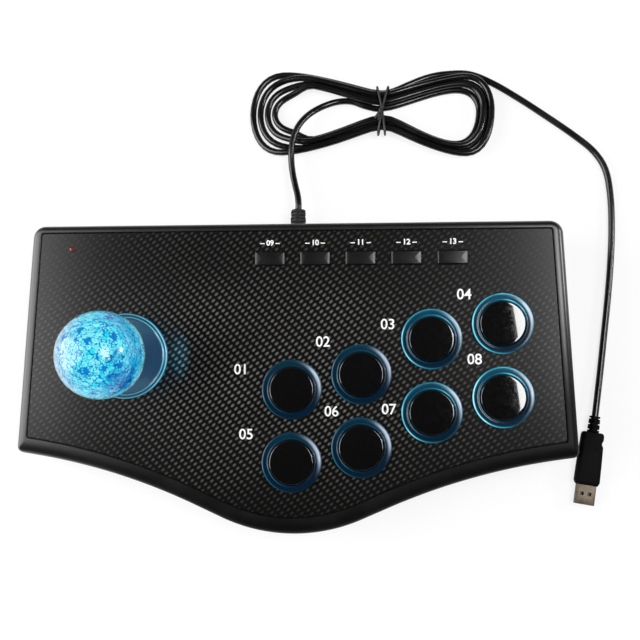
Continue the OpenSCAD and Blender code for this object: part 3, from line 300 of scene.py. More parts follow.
def panel_matrix(u, v, drop=0.0):
    """From a piece's own axes to a place on the tilted panel, drop below its face."""
    s = sizes()
    return (Matrix.Translation((0, 0, s.panel_height)) @ Matrix.Rotation(s.panel_tilt, 4, "X")
            @ Matrix.Translation((u, v, -drop)))


def smooth(piece, angle=35):
    """Shades a piece smoothly, but for edges sharper than an angle in degrees."""
    only(piece)
    bpy.ops.object.shade_smooth_by_angle(angle=math.radians(angle))
    return piece


def outward(piece):
    """Merges doubles and turns all faces outwards."""
    only(piece)
    bpy.ops.object.mode_set(mode="EDIT")
    bpy.ops.mesh.select_all(action="SELECT")
    bpy.ops.mesh.remove_doubles(threshold=1e-6)
    bpy.ops.mesh.normals_make_consistent(inside=False)
    bpy.ops.object.mode_set(mode="OBJECT")
    return piece


def modify(piece, kind, **settings):
    """Gives a piece a modifier with its settings, and applies it."""
    only(piece)
    modifier = piece.modifiers.new(kind.title(), kind)
    for key, x in settings.items():
        setattr(modifier, key, x)
    bpy.ops.object.modifier_apply(modifier=modifier.name)
    return piece


def polyline(name, points):
    """A chain of edges, extruded from point to point."""
    deselect()
    bpy.ops.mesh.primitive_plane_add(size=MM, location=points[0])
    piece = named(name)
    bpy.ops.object.mode_set(mode="EDIT")
    bpy.ops.mesh.merge(type="CENTER")
    for a, b in zip(points, points[1:]):
        bpy.ops.mesh.extrude_region_move(
            TRANSFORM_OT_translate={"value": Vector(b) - Vector(a)})
    bpy.ops.object.mode_set(mode="OBJECT")
    return place(piece, Matrix.Identity(4))


def spun(name, profile, steps):
    """A solid of revolution about Z from a profile of (radius, height) points."""
    piece = polyline(name, [(r, 0, z) for r, z in profile])
    bpy.ops.object.mode_set(mode="EDIT")
    bpy.ops.mesh.select_all(action="SELECT")
    bpy.ops.mesh.spin(steps=steps, angle=math.tau, center=(0, 0, 0), axis=(0, 0, 1))
    bpy.ops.mesh.select_all(action="SELECT")
    bpy.ops.mesh.remove_doubles(threshold=1e-6)
    bpy.ops.mesh.normals_make_consistent(inside=False)
    bpy.ops.object.mode_set(mode="OBJECT")
    return smooth(piece)


def rounded(profile, radii, steps=5):
    """A profile with its corners rounded: one radius for each point, none at the ends."""
    out = [profile[0]]
    for k in range(1, len(profile) - 1):
        a, p, b = (Vector(profile[i]) for i in (k - 1, k, k + 1))
        r = min(radii[k], (a - p).length / 2.01, (b - p).length / 2.01)
        if r <= 0:
            out.append(tuple(p))
            continue
        start, end = p + (a - p).normalized() * r, p + (b - p).normalized() * r
        for i in range(steps + 1):
            t = i / steps
            q = start * (1 - t) ** 2 + p * 2 * t * (1 - t) + end * t * t
            out.append(tuple(q))
    out.append(profile[-1])
    return out


def bent_wire(name, points, radius, sides, as_mesh=True):
    """A round wire or cord along points."""
    deselect()
    bpy.ops.curve.primitive_nurbs_path_add(location=(0, 0, 0))
    piece = named(name)
    curve = piece.data
    curve.splines.clear()
    spline = curve.splines.new("POLY")
    spline.points.add(len(points) - 1)
    for p, q in zip(spline.points, points):
        p.co = (*q, 1)
    spline.use_smooth = True
    curve.dimensions = "3D"
    curve.bevel_depth = radius
    curve.bevel_resolution = sides
    curve.use_fill_caps = True
    if as_mesh:
        only(piece)
        bpy.ops.object.convert(target="MESH")
        piece = named(name)
    return piece


# The case's outline, seen from above, in millimetres

BULGE_R, BULGE_SLOPE, SHOULDER_SLOPE = 105, 24, 8.5
STRAIGHT_RUN, SHOULDER_RUN = 18, 12
REAR_CORNER_R, FRONT_CORNER_R, LEAST_CORNER_R = 9, 4.5, 1.5
DRAFT, FRAME_ROLL, ROLL_POWER, CREST_DROP, CREST_FLAT = 0.8, 5.5, 2.4, 0.3, 0.8
FRAME_FRONT, FRAME_SIDE, FRAME_REAR = 9.5, 6.5, 5.0
WALL, PLATE_T, DECK_T, BASE_TOP = 2.6, 2.0, 2.5, 5.5
FRAME_EDGE, CREST_SAG = 0.3, 0.02
BULGE_STEPS, HOLLOW_STEPS, CORNER_STEPS, ROLL_STEPS = 16, 24, 10, 14

# Openings in the shell, in millimetres

BARREL_HOLE_R, LEVER_HOLE_R, MODE_LAMP_HOLE_R, CORD_HOLE_R = 15, 16.9, 1.6, 4.4
KEY_SLOT, REAR_DRILL_DEPTH = (18.6, 9), 30


def heading(angle):
    """A unit step in a direction given in degrees, anticlockwise from the right."""
    return Vector((math.cos(math.radians(angle)), math.sin(math.radians(angle))))


def inward(angle):
    """A unit step to the left of a heading, which is into the case."""
    return heading(angle + 90)


def arc(centre, r, start, end, steps):
    """Points of an arc from one angle in degrees to another."""
    return [centre + r * heading(start + (end - start) * i / steps) for i in range(steps + 1)]


def corner(vertex, h0, h1, inset0, inset1, r):
    """The rounded corner where a side of heading h0 meets one of heading h1, each moved in."""
    n0, n1 = inward(h0), inward(h1)
    c = n0.dot(n1)
    moved = vertex + ((inset0 - c * inset1) * n0 + (inset1 - c * inset0) * n1) / (1 - c * c)
    r = max(r - max(inset0, inset1), LEAST_CORNER_R)
    return arc(moved + r * (n0 + n1) / (1 + c), r, h0 - 90, h1 - 90, CORNER_STEPS)


def outline(front, side, rear):
    """The case's outline moved in by three insets, as points from the front tip, anticlockwise."""
    s = sizes()
    rear_y, front_y = s.depth / MM / 2, -s.depth / MM / 2
    rear_w, front_w = s.rear_width / MM / 2, s.front_width / MM / 2
    slope = math.radians(BULGE_SLOPE)
    line = Vector((BULGE_R * math.sin(slope) + STRAIGHT_RUN * math.cos(slope),
                   front_y + BULGE_R * (1 - math.cos(slope)) + STRAIGHT_RUN * math.sin(slope)))
    shoulder = math.radians(SHOULDER_SLOPE)
    hollow_r = ((front_w - SHOULDER_RUN * math.cos(shoulder) - line.x)
                / (math.sin(slope) - math.sin(shoulder)))
    corner_y = (line.y + hollow_r * (math.cos(shoulder) - math.cos(slope))
                + SHOULDER_RUN * math.sin(shoulder))
    side_heading = math.degrees(math.atan2(rear_y - corner_y, rear_w - front_w))
    half = arc(Vector((0, front_y + BULGE_R)), BULGE_R - front, -90, -90 + BULGE_SLOPE, BULGE_STEPS)
    half += arc(line - hollow_r * inward(BULGE_SLOPE), hollow_r + front,
                90 + BULGE_SLOPE, 90 + SHOULDER_SLOPE, HOLLOW_STEPS)
    half += corner(Vector((front_w, corner_y)), SHOULDER_SLOPE, side_heading, front, side, FRONT_CORNER_R)
    half += corner(Vector((rear_w, rear_y)), side_heading, 180, side, rear, REAR_CORNER_R)
    return half + [Vector((-p.x, p.y)) for p in reversed(half[1:])]


def level_ring(inset, z):
    """The outline moved in by one inset, at a height over the floor."""
    return [Vector((p.x, p.y, z)) * MM for p in outline(inset, inset, inset)]


def panel_ring(insets, drop):
    """The outline moved in by three insets, below the panel's face."""
    s = sizes()
    return [Vector((p.x, p.y, s.panel_height / MM + p.y * math.tan(s.panel_tilt) - drop)) * MM
            for p in outline(*insets)]


def lofted(name, rings):
    """A skin through rings of points: a circle is laid on the first and extruded to the others."""
    deselect()
    bpy.ops.mesh.primitive_circle_add(vertices=len(rings[0]), radius=1)
    piece = named(name)
    bpy.ops.object.mode_set(mode="EDIT")
    bpy.ops.mesh.select_all(action="SELECT")
    for k, ring in enumerate(rings):
        if k:
            bpy.ops.mesh.extrude_edges_move()
        mesh = bmesh.from_edit_mesh(piece.data)
        for vertex, point in zip([v for v in mesh.verts if v.select], ring):
            vertex.co = point
        bmesh.update_edit_mesh(piece.data)
    bpy.ops.mesh.edge_face_add()
    bpy.ops.object.mode_set(mode="OBJECT")
    return piece


# Places on the panel, across and up it from its middle, in millimetres until MM makes them metres

BUTTONS, KEYS = 8, 5
COLUMN_LIFTS, FRONT_ROW_LIFT, FIRST_COLUMN = (0, 9.1, 30.1, 39.2), 29.2, 0.8
KEY_PITCH, MIDDLE_KEY, KEY_ROW = 27.4, 42, 71.4
LEVER = (-100.9 * MM, 12.4 * MM)
MODE_LAMP = (-136 * MM, 78.2 * MM)
BALL_HEIGHT = 50 * MM


def button_place(i):
    """Panel coordinates of a button, front row first, from the left."""
    s = sizes()
    column, row = i % 4, i // 4
    return (FIRST_COLUMN * MM + column * s.column_pitch,
            (COLUMN_LIFTS[column] - FRONT_ROW_LIFT) * MM + (row - 0.5) * s.row_pitch)


def key_place(i):
    """Panel coordinates of a function key, from the left."""
    return ((MIDDLE_KEY + (i - 2) * KEY_PITCH) * MM, KEY_ROW * MM)


# Finishes


def satin_black(name, colour, rough, grain=0.25, scale=2600.0):
    """Moulded plastic with a fine spark-eroded grain."""
    f = Finish(name, specular_ior_level=0.5)
    cloud = f.noise(60, 3)
    speck = f.noise(scale, 2, 0.6)
    f.set("Base Color", f.mix(cloud.step(0.35, 0.7), [c * 0.85 for c in colour], [c * 1.2 for c in colour]))
    f.set("Roughness", cloud.step(0.3, 0.75, rough - 0.04, rough + 0.06))
    return f.bump(speck, grain, 0.00012)


def weave_finish():
    """Twill-weave print under a grained clear coat, with a painted sheen across the panel and a painted
    glow beside the lever's ring.
    """
    c = colours()
    f = Finish("carbon_weave", specular_ior_level=0.04, coat_roughness=0.19, coat_ior=1.5,
               emission_strength=1.0)
    x, y, _ = f.axes(at=(0, 0, sizes().panel_height), turn=(sizes().panel_tilt, 0, 0))
    # Two waves across the cloth, in turns per metre, and their difference: the sum of the three
    # peaks on a lattice of lozenges
    first = x * 163.3 - y * 331.7
    second = x * 333.3 - y * 156.7
    waves = ((first * math.tau).math("COSINE") * 1.25 + (second * math.tau).math("COSINE")
             + ((second - first) * math.tau).math("COSINE") * 0.95)
    lozenge = waves.step(-0.2, 3.1)
    wander = f.noise(26, 2).step(0.25, 0.75, 0.6, 1.0)
    fibres = f.noise(1400, 3, 0.6).step(0.3, 0.75, 0.7, 1.0)
    # Painted sheen: the print is painted brightest in the middle of the panel, where the light catches the
    # weave, and fades toward all its edges
    ends = (x.step(0.02, 0.09, 1.0, 0.42) * x.step(0.09, 0.14, 1.0, 0.35)
            * x.step(-0.14, -0.03, 0.22, 1.0))
    front, rear = y.step(-0.095, -0.015, 0.05, 1.0), y.step(0.025, 0.075, 1.0, 0.3)
    print_with_painted_sheen = lozenge * wander * fibres * ends * front * rear
    f.set("Base Color", f.mix(print_with_painted_sheen, c.weave_dark, c.weave_light))
    # Light from the lever's ring, caught by the cloth to the right of it
    spill_out, spill_w, spill_l = 0.0335, 0.0055, 0.013
    across, along = (x - (LEVER[0] + spill_out)) / spill_w, (y - LEVER[1]) / spill_l
    spill = (across * across + along * along).step(0.0, 1.6, 1.0, 0.0)
    f.set("Emission Color", f.mix(spill * lozenge.step(0.1, 0.8, 0.05, 0.7), [0, 0, 0], [0.02, 0.2, 0.3]))
    f.set("Metallic", lozenge * 0.35)
    f.set("Roughness", lozenge.step(0, 1, 0.5, 0.36))
    f.set("Coat Weight", y.step(-0.09, 0.02, 0.12, 0.62) * x.step(0.08, 0.16, 1.0, 0.5))
    grain = f.noise(900, 3, 0.55)
    return f.bump(waves * 0.12 + grain, 0.22, 0.0002)


# Operators: one for each piece or group of like pieces, and one for the stage


class FIGHTSTICK_OT_case(bpy.types.Operator):
    """Adds the case's shell, and finishes the panel, the base cover and the feet"""

    bl_idname = "fight_stick.case"
    bl_label = "Case"

    def execute(self, context):
        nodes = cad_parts
        frame_in = (FRAME_FRONT + DRAFT, FRAME_SIDE + DRAFT, FRAME_REAR + DRAFT)
        crest_in = [x - CREST_FLAT for x in frame_in]
        inner = WALL + DRAFT
        rings = [level_ring(inner, BASE_TOP), level_ring(0, BASE_TOP)]
        for i in range(ROLL_STEPS + 1):
            share = i / ROLL_STEPS
            fall = FRAME_ROLL * (1 - (1 - (1 - share) ** ROLL_POWER) ** (1 / ROLL_POWER))
            insets = [DRAFT * (1 - share) + x * share for x in crest_in]
            rings.append(panel_ring(insets, CREST_DROP + fall))
        rings += [panel_ring([x - FRAME_EDGE for x in frame_in], CREST_DROP + CREST_SAG),
                  panel_ring(frame_in, CREST_DROP + FRAME_EDGE), panel_ring(frame_in, PLATE_T)]
        # The deck's underside and the inner wall close the shell's inside
        inside = [level_ring(inner, BASE_TOP), panel_ring([inner] * 3, PLATE_T + DECK_T)]
        shell = joined("case_shell", lofted("case_shell", rings), lofted("case_inside", inside))
        outward(shell)
        self.cut_holes(shell)
        smooth(shell, 32)
        dress(shell, self.shell_satin())
        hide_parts("top_shell")
        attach(shell, "case")
        dress(nodes["panel_plate"], weave_finish())
        texture = satin_black("base_texture", (0.016, 0.016, 0.0165), 0.58, 0.5, 1500)
        dress(nodes["base_cover"], texture)
        rubber = satin_black("foot_rubber", (0.011, 0.011, 0.011), 0.72, 0.6, 1100)
        dress(nodes["feet"], rubber)
        return {"FINISHED"}

    def shell_satin(self):
        """Satin plastic, worn smoother toward the rear and the left."""
        f = satin_black("shell_satin", colours().shell, 0.42)
        x, y, _ = f.split(f.place)
        f.set("Specular IOR Level", 0.08)
        f.set("Coat Roughness", 0.3)
        return f.set("Coat Weight", (y + x * -0.25).step(-0.06, 0.025, 0.02, 1.0))

    def cut_holes(self, shell):
        """Openings in the deck and the rear wall, with the sizes of the solid's own."""
        cutters = []
        drop, through = PLATE_T * MM, 4 * DECK_T

        def drill(radius, depth, matrix, sides=64):
            deselect()
            bpy.ops.mesh.primitive_cylinder_add(vertices=sides, radius=radius * MM, depth=depth * MM)
            cutters.append(place(named("cutter"), matrix))

        for i in range(BUTTONS):
            drill(BARREL_HOLE_R, through, panel_matrix(*button_place(i), drop))
        drill(LEVER_HOLE_R, through, panel_matrix(*LEVER, drop))
        drill(MODE_LAMP_HOLE_R, through, panel_matrix(*MODE_LAMP, drop), 24)
        exit_place = Matrix.Translation((0, sizes().depth / 2, CORD_EXIT_H * MM))
        drill(CORD_HOLE_R, REAR_DRILL_DEPTH, exit_place @ Matrix.Rotation(math.pi / 2, 4, "X"), 40)
        for i in range(KEYS):
            cutters.append(block("cutter", (*KEY_SLOT, through), panel_matrix(*key_place(i), drop)))
        tool = joined("cutter", *cutters)
        modify(shell, "BOOLEAN", operation="DIFFERENCE", object=tool, solver="EXACT")
        bpy.data.objects.remove(tool)


def crown_profile(edge_r, edge_z, top_z, steps=10):
    """Points of a shallow crown, from its middle out to its edge."""
    return [(edge_r * i / steps, top_z - (top_z - edge_z) * (i / steps) ** 2) for i in range(steps + 1)]


def in_mm(profile):
    """A profile given in millimetres, as metres."""
    return [(r * MM, z * MM) for r, z in profile]


def set_attribute(piece, name, value):
    """Stores a number on each of a piece's points, worked out from its place."""
    layer = piece.data.attributes.new(name, "FLOAT", "POINT")
    for vertex, item in zip(piece.data.vertices, layer.data):
        item.value = value(vertex.co)


def copied(piece, name, matrix):
    """A copy with its own mesh, put in place."""
    only(piece)
    bpy.ops.object.duplicate()
    return place(named(name), matrix)


def bump_at(x, middle, width):
    """A round hump of height 1 at the middle."""
    return math.exp(-((x - middle) / width) ** 2)


def round_place(co):
    """A point's distance from its piece's axis in millimetres, and its turn about it."""
    return math.hypot(co.x, co.y) / MM, math.atan2(co.y, co.x)


# Buttons, in millimetres and with the panel's face at height 0

BORE_CLEAR, LIT_FROM = 0.25, 0.2
BARREL_R, BARREL_FLOOR, BARREL_END, STEM_HOLE_R = 14.9, -13.4, -15, 1.75
CROWN_EDGE, CROWN_TOP, SHOULDER = 3.6, 4.0, 3.2
CAP_WALL, CAP_UNDER, SKIRT_END, STEM_R, STEM_END = 1.4, 1, -10.4, 1.5, -15.6
LAMP_POWERS = (0.07, 0.12, 0.65, 0.9)


class FIGHTSTICK_OT_buttons(bpy.types.Operator):
    """Adds the eight clear rings and the eight plungers"""

    bl_idname = "fight_stick.buttons"
    bl_label = "Buttons"

    def execute(self, context):
        s = sizes()
        outer, plunger_r = s.rim_diameter / MM / 2, s.plunger_diameter / MM / 2
        bore = plunger_r + BORE_CLEAR
        ring, plunger = self.ring(outer, bore), self.plunger(plunger_r)
        ring_finish, plunger_finish = self.clear_ring(), self.gloss_black()
        for i in range(BUTTONS):
            place_here = panel_matrix(*button_place(i))
            own_ring = copied(ring, f"button_ring_{i + 1}", Matrix.Identity(4))
            power = LAMP_POWERS[i % 4]
            set_attribute(own_ring, "lit", lambda co: self.lit(co, outer, bore, power))
            set_attribute(own_ring, "painted_highlight", lambda co: self.painted_highlight(co, outer))
            place(own_ring, place_here)
            dress(own_ring, ring_finish)
            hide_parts("button_rims")
            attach(own_ring, "case")
            own_plunger = copied(plunger, f"button_plunger_{i + 1}", place_here)
            dress(own_plunger, plunger_finish)
            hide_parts(f"plunger_{i + 1}")
            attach(own_plunger, f"button_{i + 1}")
        bpy.data.objects.remove(ring)
        bpy.data.objects.remove(plunger)
        return {"FINISHED"}

    def ring(self, outer, bore):
        """A clear ring: its rounded rim, the bead round its bore and its screw barrel."""
        return outward(spun("ring_master", in_mm(rounded(
            [(outer, 0.3), (outer, 2.6), (outer - 2.3, 2.65), (outer - 2.9, 2.62), (bore + 1.2, 2.55),
             (bore + 0.95, 2.8), (bore + 0.5, 2.75), (bore, 1.6), (bore, BARREL_FLOOR),
             (STEM_HOLE_R, BARREL_FLOOR), (STEM_HOLE_R, BARREL_END), (BARREL_R, BARREL_END),
             (BARREL_R, 0), (outer - 0.3, 0), (outer, 0.3)],
            [0, 1.9, 0.5, 0.5, 0.3, 0.2, 0.3, 0.3, 0, 0, 0, 0, 0, 0, 0], 8)), steps=112))

    def plunger(self, outer):
        """A crowned cap with its skirt, and the stem that presses the switch."""
        crown = crown_profile(outer - 0.35, CROWN_EDGE, CROWN_TOP)
        return spun("plunger_master", in_mm(rounded(
            [*crown, (outer, SHOULDER), (outer, SKIRT_END), (outer - CAP_WALL, SKIRT_END),
             (outer - CAP_WALL, CAP_UNDER), (STEM_R, CAP_UNDER), (STEM_R, STEM_END), (0, STEM_END)],
            [0] * 10 + [0.25, 0.25, 0, 0, 0, 0, 0, 0])), steps=112)

    def lit(self, co, outer, bore, power):
        """Lamplight along the rim and the bore, painted stronger at the left and the upper right where the
        lamps are reflected, a painted brightening toward the top, and painted reflections of the lamps,
        which an unlit ring shows too.
        """
        r, turn = round_place(co)
        if co.z < LIT_FROM * MM:
            return 0
        left, corner, top = (max(0, math.cos(turn - a)) for a in (3.5, 0.9, 1.7))
        # Lamplight in the rim and the bead round the bore, with painted highlights: stronger at the left
        # and the upper right, where the lamps are reflected
        lines = (bump_at(r, outer - 0.45, 0.5) * (0.85 * left ** 0.7 + 0.5 * corner + 0.22)
                 + bump_at(r, bore + 0.75, 0.4) * (0.06 + 0.8 * corner ** 3))
        # Painted reflections of the left lamp on the outer edge and on the bead round the bore
        painted_reflection = (0.18 * left ** 4 * bump_at(r, outer - 0.6, 0.4)
                    + 0.3 * left ** 2 * bump_at(r, bore + 0.9, 0.25))
        # A painted brightening toward the top of the ring is added to the rest
        return min(1, power * (lines + 0.1 * top) + 0.05 * top + painted_reflection)

    def painted_highlight(self, co, outer):
        """A painted highlight: a crescent on the right of the rounded edge, where the lamps on the right
        are reflected.
        """
        r, turn = round_place(co)
        if co.z < LIT_FROM * MM:
            return 0
        return min(1, 1.5 * max(0, math.cos(turn - 0.45)) ** 8 * bump_at(r, outer - 1.25, 0.85))

    def clear_ring(self):
        """Tinted clear plastic, with lamplight caught along its edges, painted glints, painted highlights
        and painted reflections of the lamps.
        """
        c = colours()
        f = Finish("clear_blue_ring", roughness=0.14, specular_ior_level=0.22, coat_weight=0.1,
                   coat_roughness=0.04, emission_strength=1.0)
        # lit holds the lamplight with its painted highlights and reflections; it tints both the colour and
        # the glow
        lit = f.attribute("lit")
        cloud = f.noise(90, 2).step(0.3, 0.7, 0.65, 1.0)
        # Painted glints: small bright flecks of lamp colour scattered over the ring
        painted_glint = f.cells(260).step(0.02, 0.09, 0.5, 0.0) * f.noise(60, 1).step(0.5, 0.6)
        f.set("Base Color", f.mix(lit, c.ring, [0.02, 0.12, 0.16]))
        glow = f.mix((lit * cloud).step(0, 0.3), [0.0004, 0.003, 0.007], [0.006, 0.085, 0.15])
        bright = f.mix((lit * cloud).step(0.25, 0.75) + painted_glint * 0.5, glow, c.lamp)
        bright = f.mix((lit * cloud).step(0.5, 0.85), bright, [0.42, 0.88, 0.93])
        # The painted highlight turns the right of the rounded edge white-blue
        return f.set("Emission Color", f.mix(f.attribute("painted_highlight") * cloud, bright, [0.56, 0.7, 0.86]))

    def gloss_black(self):
        """Gloss plastic with a faint haze, as moulded caps have."""
        f = Finish("plunger_gloss", specular_ior_level=0.4, coat_weight=0.9, coat_roughness=0.015)
        haze = f.noise(420, 4, 0.6)
        f.set("Base Color", f.mix(haze.step(0.3, 0.7), colours().plunger, [0.003, 0.003, 0.0034]))
        f.set("Roughness", haze.step(0.35, 0.75, 0.06, 0.12))
        return f.bump(f.noise(150, 2), 0.015, 0.0002)


def soft_rectangle(left, right, half_depth, radius):
    """Points of a rectangle with rounded corners, anticlockwise from its right side."""
    steps, least = 4, 0.02
    points = []
    for k, (sx, sy) in enumerate(((1, 1), (-1, 1), (-1, -1), (1, -1))):
        half = right if sx > 0 else left
        for i in range(steps + 1):
            a = math.radians(90 * k + 90 * i / steps)
            points.append((sx * max(half - radius, least) + radius * math.cos(a),
                           sy * max(half_depth - radius, least) + radius * math.sin(a)))
    return points


def slab(name, w, d, radius, levels, crown):
    """A block with rounded corners through levels of (inset, height), crowned along its width."""
    rings = []
    for inset, z in levels:
        half, r = w / 2 - inset, max(radius - inset, 0.08)
        rings.append([Vector((x, y, z - (crown * (2 * x / w) ** 2 if z > 0 else 0))) * MM
                      for x, y in soft_rectangle(half, half, d / 2 - inset, r)])
    return outward(lofted(name, rings))


# Function keys, in millimetres and with the panel's face at height 0

KEY_W, KEY_D, KEY_CORNER_R, KEY_CROWN = 18.1, 8.5, 1.0, 0.7
KEY_LEVELS = ((-1, -5.9), (-1, -4.7), (0, -4.7), (0, 1.1), (0.12, 1.38), (0.4, 1.55), (0.9, 1.6),
              (2.0, 1.6), (3.1, 1.6), (4.1, 1.6))
KEY_STEM_R, KEY_STEM_L, KEY_STEM_Z = 1.2, 2.4, -6.95


class FIGHTSTICK_OT_keys(bpy.types.Operator):
    """Adds the five function keys"""

    bl_idname = "fight_stick.keys"
    bl_label = "Function keys"

    def execute(self, context):
        key = slab("key_master", KEY_W, KEY_D, KEY_CORNER_R, KEY_LEVELS, KEY_CROWN)
        deselect()
        bpy.ops.mesh.primitive_cylinder_add(
            vertices=32, radius=KEY_STEM_R * MM, depth=KEY_STEM_L * MM, location=(0, 0, KEY_STEM_Z * MM))
        stem = place(named("stem"), Matrix.Identity(4))
        key = smooth(joined("key_master", key, stem), 40)
        finish = self.key_plastic()
        for i in range(KEYS):
            own = copied(key, f"function_key_cap_{i + 1}", panel_matrix(*key_place(i)))
            dress(own, finish)
            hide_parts(f"key_{i + 1}")
            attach(own, f"function_key_{i + 1}")
        bpy.data.objects.remove(key)
        return {"FINISHED"}

    def key_plastic(self):
        """Satin plastic, a little smoother than the case."""
        f = satin_black("key_plastic", (0.0025, 0.0025, 0.0027), 0.32, 0.1, 2200)
        f.set("Specular IOR Level", 0.2)
        f.set("Coat Weight", 0.42)
        return f.set("Coat Roughness", 0.24)


# The lever's foot ring and ball, in millimetres; the socket's heights are from the ball's lowest point

FOOT_RING_INNER_R, FOOT_RING_LIT_FROM = 12.0, 1
BALL_STEPS, SOCKET_R, SOCKET_TOP, WELL_R, WELL_TOP, WELL_POINT = 64, 4.05, 8, 2.6, 15.6, 16.2

# The bubbles round the ball's lamp, in millimetres

CLUSTER_R, MIDDLE_DEPTH, BUBBLE_DEPTH = 17.0, 3.4, 2.2
LARGE_BUBBLE, BUBBLE_RANGE, BUBBLE_SPACING, CELL = 1.9, 1.4, 0.88, 3.8
BUBBLE_TRIES, DARK_BUBBLES, SHRINK_SHARE = 14000, 42, 0.3


class FIGHTSTICK_OT_lever(bpy.types.Operator):
    """Adds the lit ring at the lever's foot, the clear ball top and the bubbles in it"""

    bl_idname = "fight_stick.lever"
    bl_label = "Lever"

    def execute(self, context):
        self.foot_ring()
        self.ball()
        dome = satin_black("dome_plastic", (0.012, 0.03, 0.055), 0.3, 0.1, 1800)
        dress(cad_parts["dust_dome"], dome)
        return {"FINISHED"}

    def foot_ring(self):
        """The lit ring at the lever's foot, with two raised beads."""
        outer, inner = sizes().bezel_diameter / MM / 2, FOOT_RING_INNER_R
        ring = outward(spun("lever_foot_ring", in_mm(rounded(
            [(outer, 0), (outer, 2.3), (outer - 0.35, 3.0), (outer - 0.9, 2.9), (outer - 1.3, 2.3),
             (outer - 1.9, 2.3), (outer - 2.3, 2.75), (outer - 2.7, 2.6), (outer - 3.3, 1.5),
             (inner, 1.2), (inner, 0), (outer, 0)],
            [0, 0.4, 0.3, 0.3, 0.3, 0.3, 0.25, 0.25, 0.5, 0.2, 0, 0])), steps=144))

        def lit(co):
            """Two bright lines round the ring, strongest at its left and right: lamplight in its edges and
            painted highlights where the lamps are reflected.
            """
            r, turn = round_place(co)
            if co.z <= FOOT_RING_LIT_FROM * MM:
                return 0
            lines = bump_at(r, outer - 0.45, 0.34) + 0.9 * bump_at(r, outer - 2.45, 0.3)
            return min(1, lines * (0.35 + 0.65 * math.cos(turn - 0.15) ** 2))

        set_attribute(ring, "lit", lit)
        place(ring, panel_matrix(*LEVER))
        f = Finish("foot_ring_plastic", specular_ior_level=0.5, coat_weight=0.8, coat_roughness=0.05,
                   emission_strength=1.0)
        # The lines' lamplight and painted highlights, in colour and in glow
        light = f.attribute("lit")
        cloud = f.noise(70, 2).step(0.25, 0.75, 0.75, 1.0)
        f.set("Base Color", f.mix(light, [0.014, 0.03, 0.055], [0.1, 0.4, 0.5]))
        f.set("Roughness", cloud * 0.2)
        f.set("Emission Color", f.mix(light * cloud, [0.005, 0.013, 0.024], [0.06, 0.5, 0.75]))
        dress(ring, f)
        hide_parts("stick_bezel")
        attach(ring, "case")

    def ball(self):
        """The clear ball with its socket, and the bubbles in it."""
        r = sizes().ball_diameter / MM / 2
        arc_end = math.pi - math.asin(SOCKET_R / r)
        turns = [arc_end * i / BALL_STEPS for i in range(BALL_STEPS + 1)]
        profile = [(r * math.sin(a), r * math.cos(a)) for a in turns]
        profile += [(SOCKET_R, SOCKET_TOP - r), (WELL_R, SOCKET_TOP - r), (WELL_R, WELL_TOP - r),
                    (0, WELL_POINT - r)]
        up = panel_matrix(*LEVER) @ Matrix.Translation((0, 0, BALL_HEIGHT))
        shell = place(spun("ball_shell", in_mm(profile), steps=128), up)
        outward(shell)
        smooth(shell, 40)
        glass = Finish("clear_acrylic", base_color=(0.85, 0.97, 1.0), ior=1.46, transmission_weight=1.0,
                       specular_ior_level=0.03)
        faint = glass.noise(35, 2)
        glass.set("Roughness", faint.step(0.3, 0.7, 0.14, 0.18))
        glass.bump(faint, 0.02, 0.0004)
        dress(shell, glass)
        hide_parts("ball_top")
        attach(shell, "lever")
        bubbles = place(self.bubble_cluster(), up)
        dress(bubbles, self.bubble_light(up.translation))
        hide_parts("ball_core")
        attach(bubbles, "lever")

    def bubble_cluster(self):
        """Small bubbles packed round the lamp, and the dim middle that they hide."""
        rng = random.Random(11)
        deselect()
        bpy.ops.mesh.primitive_ico_sphere_add(subdivisions=4, radius=(CLUSTER_R - MIDDLE_DEPTH) * MM)
        cluster = named("ball_bubbles")
        middle = len(cluster.data.vertices)
        tones = [0.0] * middle
        deselect()
        bpy.ops.mesh.primitive_ico_sphere_add(subdivisions=2, radius=1)
        seed = named("bubble")
        corners = [v.co.copy() for v in seed.data.vertices]
        faces = [tuple(f.vertices) for f in seed.data.polygons]
        bpy.data.objects.remove(seed)
        body = bmesh.new()
        body.from_mesh(cluster.data)
        cells = {}
        for i in range(BUBBLE_TRIES):
            # Large ones first; each new one keeps clear of those already there
            shrink = min(1, i / (SHRINK_SHARE * BUBBLE_TRIES)) ** 0.4
            size = LARGE_BUBBLE - BUBBLE_RANGE * shrink + 0.1 * rng.random()
            z, turn = rng.uniform(-0.8, 1), rng.uniform(0, math.tau)
            deep = CLUSTER_R - size - BUBBLE_DEPTH * rng.random() ** 1.5
            flat = math.sqrt(1 - z * z)
            at = Vector((flat * math.cos(turn), flat * math.sin(turn), z)) * deep
            key = tuple(int(math.floor(k / CELL)) for k in at)
            near = [c for x in (-1, 0, 1) for y in (-1, 0, 1) for w in (-1, 0, 1)
                    for c in cells.get((key[0] + x, key[1] + y, key[2] + w), ())]
            if any((at - other).length < BUBBLE_SPACING * (size + other_size)
                   for other, other_size in near):
                continue
            cells.setdefault(key, []).append((at, size))
            tone = rng.random()
            made = [body.verts.new((at + c * size) * MM) for c in corners]
            tones += [tone] * len(corners)
            for face in faces:
                body.faces.new([made[k] for k in face])
        body.to_mesh(cluster.data)
        body.free()
        cluster.data.update()
        # The middle and the first and largest bubbles stay dark
        dark = middle + DARK_BUBBLES * len(corners)
        facing = cluster.data.attributes.new("outward", "FLOAT", "POINT")
        for k, (vertex, item) in enumerate(zip(cluster.data.vertices, facing.data)):
            item.value = max(0, vertex.normal.dot(vertex.co.normalized())) if k >= dark else 0
        layer = cluster.data.attributes.new("tone", "FLOAT", "POINT")
        for tone, item in zip(tones, layer.data):
            item.value = tone
        return smooth(cluster, 80)

